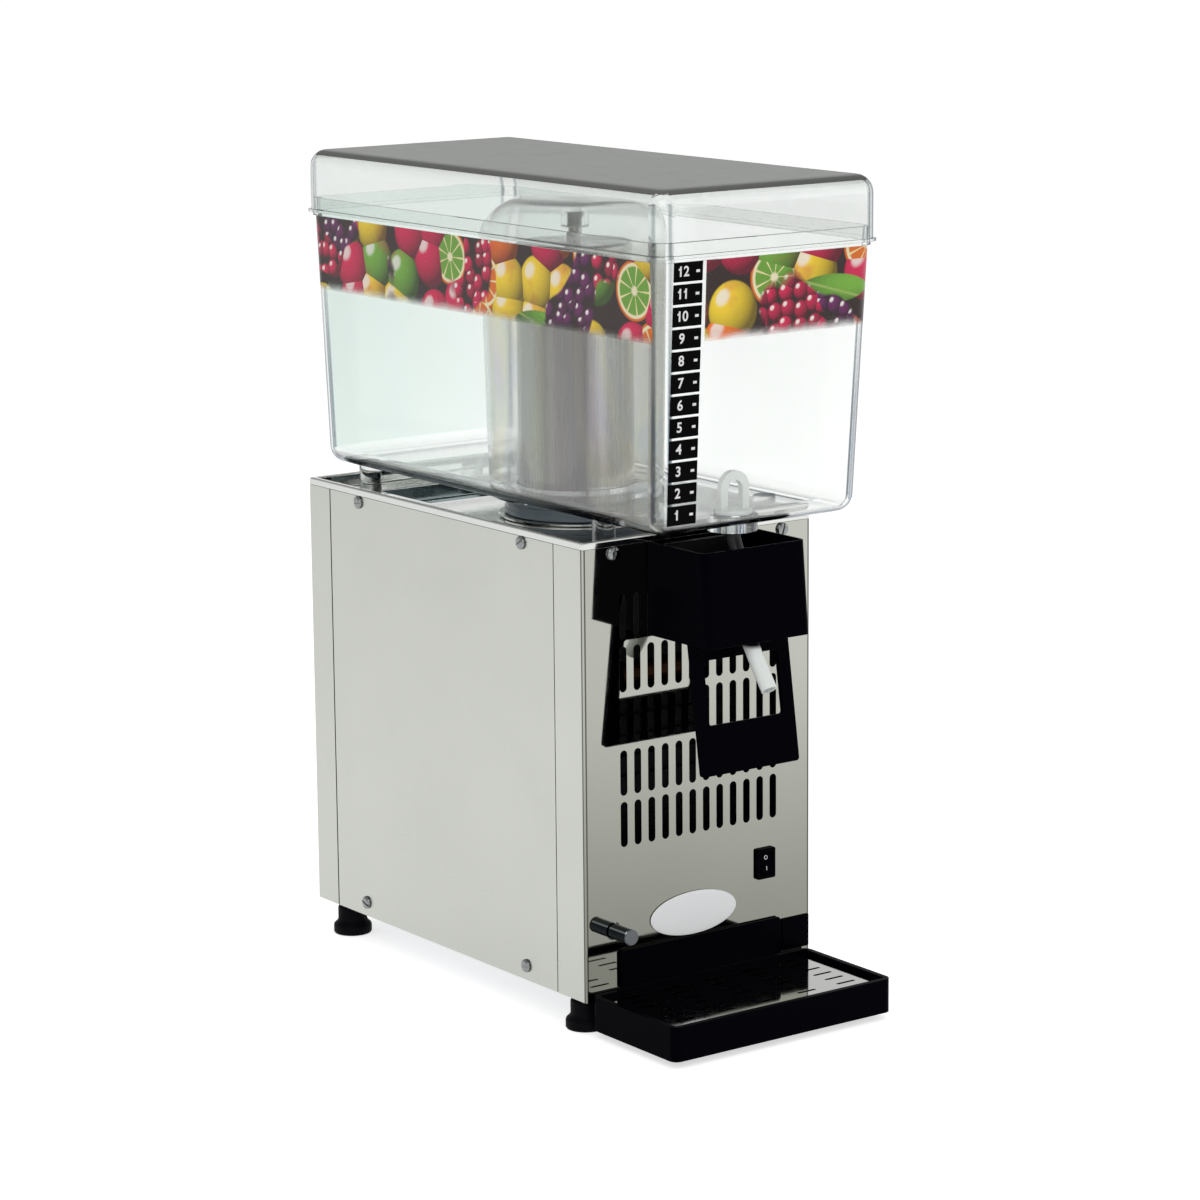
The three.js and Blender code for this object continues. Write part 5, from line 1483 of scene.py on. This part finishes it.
def tube_along(points, radius, bore):
    """A hollow round tube along a smooth path."""
    bpy.ops.curve.primitive_nurbs_path_add(location=(0, 0, 0))
    path = bpy.context.object
    data = path.data
    data.splines.clear()
    spline = data.splines.new("NURBS")
    spline.points.add(len(points) - 1)
    for control, point in zip(spline.points, points):
        control.co = (*place(*point), 1.0)
    spline.order_u = 3
    spline.use_endpoint_u = True
    spline.resolution_u = 10
    data.dimensions = "3D"
    data.bevel_depth = radius * MM
    data.bevel_resolution = 8
    data.use_fill_caps = False
    activate(path)
    bpy.ops.object.convert(target="MESH")
    piece = bpy.context.object
    with editing(piece):
        bpy.ops.mesh.remove_doubles(threshold=0.01 * MM)
        bpy.ops.mesh.normals_make_consistent(inside=False)
    modify(piece, "SOLIDIFY", thickness=(radius - bore) * MM, offset=-1.0)
    return piece


class Spout(bpy.types.Operator):
    """White silicone tube from the bowl's outlet to the glass"""

    bl_idname = "dispenser.spout"
    bl_label = "Spout"

    def execute(self, context):
        path = [(0, OUTLET_Y, 329.8), (0, OUTLET_Y, 326), (0, -40, 320), (0, -53, 296), (0, HOSE_Y, 285),
                (0, HOSE_Y, 272), (0, HOSE_Y, 262), (0, -58, 252), (0, -78.8, 224)]
        piece = tube_along(path, HOSE_RADIUS, 4.1)
        finish(piece, "spout_hose", "casing", "white_silicone", spout_silicone(), "spout_tube")
        return {"FINISHED"}


class PullLoop(bpy.types.Operator):
    """White pull loop of the tap, inside the bowl"""

    bl_idname = "dispenser.pull_loop"
    bl_label = "Pull loop"

    def execute(self, context):
        def arch(half, y0, y1, z0, top):
            piece = block(-half, half, y0, y1, z0, top)
            round_edges(piece, half * 0.9999, 14, lambda at, way: abs(way.y) > 0.9 and at.z > top - 0.1)
            return piece

        piece = arch(12.1, -40.3, -35.7, 342.4, 371.6)
        cut(piece, arch(6.3, -45, -31, 343.0, 364.9))
        base = turned(0, OUTLET_Y, [
            (0, 340.4), (12.9, 340.4), (13.5, 341), (13.5, 343.6), (12.7, 344.4), (0, 344.4)], 64)
        add(piece, base, rod(0, OUTLET_Y, 330.1, 341.5, 6.0, 40))
        soften(piece, 1.5, 4, 50)
        finish(piece, "loop_grip", "bowl", "white_silicone", white_silicone(), "tap_loop")
        return {"FINISHED"}


# Drip tray

class DripTray(bpy.types.Operator):
    """Black drip tray with its ledge for the grid"""

    bl_idname = "dispenser.drip_tray"
    bl_label = "Drip tray"

    def execute(self, context):
        wall, ledge_depth, well_depth = mm(sizes().tray_wall), 6.2, 15.9
        piece = block(-96.5, 96.5, -97, -0.6, -19, 5.6)
        round_edges(piece, 6, 8, lambda at, way: abs(way.z) > 0.9)
        with editing(piece):
            choose(piece, "FACE", lambda at, way: way.z > 0.9)
            bpy.ops.mesh.inset(thickness=wall * MM, use_even_offset=True)
            bpy.ops.mesh.extrude_region_move(TRANSFORM_OT_translate={"value": (0, 0, -ledge_depth * MM)})
            bpy.ops.mesh.inset(thickness=3 * MM, use_even_offset=True)
            bpy.ops.mesh.extrude_region_move(TRANSFORM_OT_translate={"value": (0, 0, -well_depth * MM)})
        soften(piece, mm(sizes().moulding), 3, 50)
        finish(piece, "tray_tub", "drip_tray", "black_plastic", black_plastic(), "drip_tray")
        return {"FINISHED"}


class DripGrid(bpy.types.Operator):
    """Polished grid with rows of slots"""

    bl_idname = "dispenser.drip_grid"
    bl_label = "Drip grid"

    def execute(self, context):
        width = mm(sizes().grid_slot)
        piece = block(-92.2, 92.2, -92.7, -4.9, -0.3, 2.2)
        round_edges(piece, 1.8, 5, lambda at, way: abs(way.z) > 0.9)
        pitch, half, first_x, first_y = 35.6, 8.2, -71.2, -11
        slot = block(first_x - half, first_x + half, first_y - width / 2, first_y + width / 2, -5, 5)
        round_edges(slot, width * 0.4999, 5, lambda at, way: abs(way.z) > 0.9)
        repeat(slot, 5, (pitch, 0, 0))
        repeat(slot, 6, (0, -13, 0))
        cut(piece, slot)
        soften(piece, 0.25, 2, 50)
        finish(piece, "grid_sheet", "drip_grid", "polished_steel", polished_steel(), "drip_grid")
        return {"FINISHED"}


class BackPlate(bpy.types.Operator):
    """Black plate that stands on the drip tray's rear edge and hooks into the front"""

    bl_idname = "dispenser.back_plate"
    bl_label = "Back plate"

    def execute(self, context):
        piece = block(-71.5, 71.5, -3.0, -0.6, 6.6, 33.5)
        round_edges(piece, 2, 1, lambda at, way: abs(way.y) > 0.9 and at.z > 30)
        add(piece, *[block(x - 7, x + 7, -1.8, 6, 22, 27) for x in TONGUES])
        soften(piece, 0.35, 2, 50)
        finish(piece, "splash_plate", "drip_tray", "black_plastic", black_plastic(), "tray_backplate")
        return {"FINISHED"}


# Front fittings

class Drain(bpy.types.Operator):
    """Chromed drain tube with its grey plug"""

    bl_idname = "dispenser.drain"
    bl_label = "Drain"

    def execute(self, context):
        tube = turned(0, 0, [(3.9, -12), (5.5, -12), (5.5, -4), (8.5, -4), (8.5, -1.5), (5.5, -1.5),
                             (5.5, 19.6), (5.1, 20), (4.3, 20), (3.9, 19.6)], 56)
        lay(tube, (90, 0, 0), DRAIN_X, 0, DRAIN_Z)
        finish(tube, "drain_pipe", "casing", "polished_steel", dark_chrome(), "drain_tube")
        plug = turned(0, 0, [(0, 13.0), (3.5, 13.0), (3.5, 20.3), (5.2, 20.3), (5.5, 20.6), (5.5, 21.5),
                             (5.1, 21.9), (0, 21.9)], 56)
        lay(plug, (90, 0, 0), DRAIN_X, 0, DRAIN_Z)
        finish(plug, "drain_stopper", "casing", "grey_plastic", grey_plastic(), "drain_plug")
        return {"FINISHED"}


class PowerSwitch(bpy.types.Operator):
    """Rocker switch in its bezel, with ring and bar marks"""

    bl_idname = "dispenser.power_switch"
    bl_label = "Power switch"

    def execute(self, context):
        x, z, lean = SWITCH_X, SWITCH_Z, -8
        bezel = block(x - 8.2, x + 8.2, -2.5, -0.3, z - 11.2, z + 11.2)
        round_edges(bezel, 1.4, 5, lambda at, way: abs(way.y) > 0.9)
        add(bezel, block(x - 7.2, x + 7.2, -1.4, 22, z - 10, z + 10))
        cut(bezel, block(x - 5.8, x + 5.8, -8, 4.5, z - 8.5, z + 8.5))
        soften(bezel, 0.4, 3, 50)
        finish(bezel, "switch_frame", "casing", "black_plastic", black_plastic(), "switch_bezel")

        rocker = block(-5.4, 5.4, -3.4, 1.6, -7.6, 7.6)
        with editing(rocker):
            bpy.ops.mesh.bisect(plane_co=place(0, 0, 0), plane_no=(0, 0, 1))
            choose(rocker, "EDGE", lambda at, way: abs(at.z) < 0.01 and at.y < -3.3)
            bpy.ops.transform.translate(value=(0, 0.6 * MM, 0))
        soften(rocker, 0.5, 3, 8)
        pivot = (x, 1.1, z)
        lay(rocker, (lean, 0, 0), *pivot)
        finish(rocker, "switch_key", "switch_rocker", "black_plastic", black_plastic(), "switch_rocker")

        ring = turned(0, 0, [(1.15, 3.26), (1.55, 3.26), (1.55, 3.36), (1.15, 3.36)], 40)
        lay(ring, (90, 0, 0), 0, 0, 3.9)
        bar = block(-0.22, 0.22, -3.36, -3.2, -5.4, -2.4)
        marks = join([ring, bar])
        lay(marks, (lean, 0, 0), *pivot)
        finish(marks, "switch_marks", "switch_rocker", "white_plastic", scale_white())
        return {"FINISHED"}


class BadgeAndLabel(bpy.types.Operator):
    """Bare oval badge and bare black label"""

    bl_idname = "dispenser.badge_label"
    bl_label = "Badge and label"

    def execute(self, context):
        badge = turned(0, 0, [(0, 0.3), (37.2, 0.3), (38, 0.6), (37.9, 0.85), (36.6, 1.1), (30, 1.25),
                              (0, 1.3)], 96)
        half_width, half_height = 38, 15.6
        with editing(badge):
            bpy.ops.transform.resize(value=(1, half_height / half_width, 1),
                                     center_override=place(0, 0, 0))
        lay(badge, (90, 0, 0), -6.2, 0, 49.9)
        finish(badge, "oval_badge", "casing", "white_plastic", white_enamel(), "badge")
        label = block(74, 98.4, -1.1, -0.3, 7, 30.8)
        round_edges(label, 0.8, 4, lambda at, way: abs(way.y) > 0.9)
        soften(label, 0.12, 2, 50)
        finish(label, "label_blank", "casing", "black_plastic", black_plastic(), "label_plate")
        return {"FINISHED"}


# Rear fittings and inner works

WORKS = (
    (zinc_steel, ("base_plate", "fan_bracket")),
    (satin_steel, ("lever_pin", "lever_spring")),
    (copper, ("evaporator_coil", "discharge_pipe", "suction_pipe", "drier")),
    (black_enamel, ("compressor", "mixer_motor", "fan_motor", "condenser", "tap_bracket")),
    (aluminium, ("fan",)),
    (grey_plastic, ("thermostat",)),
    (black_rubber, ("drain_hose", *[f"grommet_{end}_{side}" for end in ENDS for side, _ in SIDES])),
    (black_plastic, ("mains_inlet",)),
)


class Works(bpy.types.Operator):
    """Finishes for the inner works and the mains inlet, which the frame shows itself"""

    bl_idname = "dispenser.works"
    bl_label = "Inner works"

    def execute(self, context):
        for material, nodes in WORKS:
            for node in nodes:
                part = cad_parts[node]
                part.data.materials.clear()
                part.data.materials.append(material())
        return {"FINISHED"}


class ThermostatKnob(bpy.types.Operator):
    """Knob of the thermostat on the rear panel"""

    bl_idname = "dispenser.thermostat_knob"
    bl_label = "Thermostat knob"

    def execute(self, context):
        knob = turned(0, 0, [(0, -15.5), (3, -15.5), (3, 0.3), (10.7, 0.3), (11, 0.6), (10.6, 4.6),
                             (9.6, 5.9), (8.6, 6.3), (0, 6.3)], 64)
        flutes = []
        for flute in range(16):
            turn = math.tau * flute / 16
            flutes.append(lay(rod(0, 0, -1, 8, 1.1, 16), (0, 0, 0), 11.6 * math.cos(turn),
                              11.6 * math.sin(turn), 0))
        cut(knob, *flutes, block(-0.7, 0.7, 2, 12, 4.8, 8))
        soften(knob, 0.3, 2, 50)
        lay(knob, (-90, 0, 0), *KNOB)
        finish(knob, "thermostat_dial", "thermostat_knob", "black_plastic", black_plastic(),
               "thermostat_knob")
        return {"FINISHED"}


# Stage

class Camera(bpy.types.Operator):
    """Camera at the photograph's place"""

    bl_idname = "dispenser.camera"
    bl_label = "Camera"

    def execute(self, context):
        turn, rise, roll = (math.radians(angle) for angle in (-36.0738, 11.3868, -0.5116))
        back = Vector((math.sin(turn) * math.cos(rise), -math.cos(turn) * math.cos(rise),
                       math.sin(rise)))
        right = Vector((0, 0, 1)).cross(back).normalized()
        up = back.cross(right)
        tilted = (math.cos(roll) * right + math.sin(roll) * up,
                  math.cos(roll) * up - math.sin(roll) * right)
        bpy.ops.object.camera_add()
        camera = bpy.context.object
        camera.name = "view_camera"
        camera.data.sensor_width = 36.0
        camera.data.lens = 116.966
        camera.data.clip_end = 100.0
        turned_to = Matrix((*tilted, back)).transposed().to_4x4()
        camera.matrix_world = Matrix.Translation((-1.62594, -2.2454, 0.83677)) @ turned_to
        context.scene.camera = camera
        return {"FINISHED"}


def lamp(name, size, power, at, aim):
    bpy.ops.object.light_add(type="AREA", location=at)
    light = bpy.context.object
    light.name = name
    light.data.shape = "SQUARE"
    light.data.size = size
    light.data.energy = power
    light.rotation_mode = "QUATERNION"
    light.rotation_quaternion = (Vector(aim) - Vector(at)).to_track_quat("-Z", "Y")
    return light


def seen_rays(tree):
    """1 for rays from the camera, from gloss and through glass, else 0."""
    path = put(tree, "LightPath").outputs
    seen = maths(tree, "ADD", path["Is Camera Ray"], path["Is Glossy Ray"])
    return maths(tree, "ADD", seen, path["Is Transmission Ray"], clamp=True)


class Stage(bpy.types.Operator):
    """White floor, soft lamps and a plain white surround"""

    bl_idname = "dispenser.stage"
    bl_label = "Stage"

    def execute(self, context):
        bpy.ops.mesh.primitive_plane_add(size=60, location=(0, 0, 0))
        floor = bpy.context.object
        floor.name = "floor"
        material, tree, shader = blank("floor_paper")
        shader.inputs["Base Color"].default_value = (0.80, 0.80, 0.80, 1.0)
        shader.inputs["Roughness"].default_value = 0.9
        shader.inputs["Specular IOR Level"].default_value = 0.0
        glow = put(tree, "Emission", {"Color": (1.0, 1.0, 1.0, 1.0),
                                      "Strength": maths(tree, "MULTIPLY", seen_rays(tree), 0.62)})
        both = put(tree, "AddShader")
        tree.links.new(shader.outputs[0], both.inputs[0])
        tree.links.new(glow.outputs[0], both.inputs[1])
        tree.links.new(both.outputs[0], tree.nodes["Material Output"].inputs[0])
        floor.data.materials.append(material)

        lamp("key_lamp", 2.4, 34, (-2.0, -2.1, 2.4), (0, 0, 0.3))
        lamp("fill_lamp", 2.4, 16, (2.4, -1.8, 1.6), (0, 0, 0.3))
        lamp("top_lamp", 2.2, 14, (0.2, 0.6, 2.6), (0, 0, 0.4))

        world = bpy.data.worlds.new("white_surround")
        world.use_nodes = True
        tree = world.node_tree
        ground = tree.nodes["Background"]
        rays = put(tree, "LightPath").outputs
        upward = split(tree, put(tree, "TexCoord").outputs["Generated"])["Z"]
        ceiling = spread(tree, upward, 0.05, 0.7, 0.5, -0.25, smooth=True)
        seen = maths(tree, "MAXIMUM", rays["Is Glossy Ray"], rays["Is Transmission Ray"])
        level = maths(tree, "MULTIPLY_ADD", rays["Is Camera Ray"], 0.5, 0.5)
        level = maths(tree, "MULTIPLY_ADD", seen, ceiling, level)
        ground.inputs["Color"].default_value = (1.0, 1.0, 1.0, 1.0)
        tree.links.new(level, ground.inputs["Strength"])
        context.scene.world = world
        context.scene.view_settings.view_transform = "Standard"
        return {"FINISHED"}


class DispenserPanel(bpy.types.Panel):
    """Steps, sizes and colours of the dispenser"""

    bl_idname = "VIEW3D_PT_dispenser"
    bl_label = "Juice dispenser"
    bl_space_type = "VIEW_3D"
    bl_region_type = "UI"
    bl_category = "Dispenser"

    def draw(self, context):
        for step in STEPS:
            self.layout.operator(step.bl_idname)
        for group in (context.scene.dispenser_sizes, context.scene.dispenser_colours):
            box = self.layout.box()
            for name in group.__annotations__:
                box.prop(group, name)


STEPS = (Camera, Stage, FrontPanel, RearPanel, SidePanels, TopTray, Screws, Feet, Bowl, Lid, LevelScale,
         FruitPrint, Cooler, MixerBell, TapCover, Lever, Spout, PullLoop, DripTray, DripGrid, BackPlate,
         Drain, PowerSwitch, BadgeAndLabel, Works, ThermostatKnob)
CLASSES = (DispenserSizes, DispenserColours, *STEPS, DispenserPanel)


def register():
    for cls in CLASSES:
        bpy.utils.register_class(cls)
    bpy.types.Scene.dispenser_sizes = PointerProperty(type=DispenserSizes)
    bpy.types.Scene.dispenser_colours = PointerProperty(type=DispenserColours)


def unregister():
    del bpy.types.Scene.dispenser_colours
    del bpy.types.Scene.dispenser_sizes
    for cls in reversed(CLASSES):
        bpy.utils.unregister_class(cls)


def main():
    register()
    for step in STEPS:
        group, name = step.bl_idname.split(".")
        getattr(getattr(bpy.ops, group), name)()


if __name__ == "__main__":
    main()
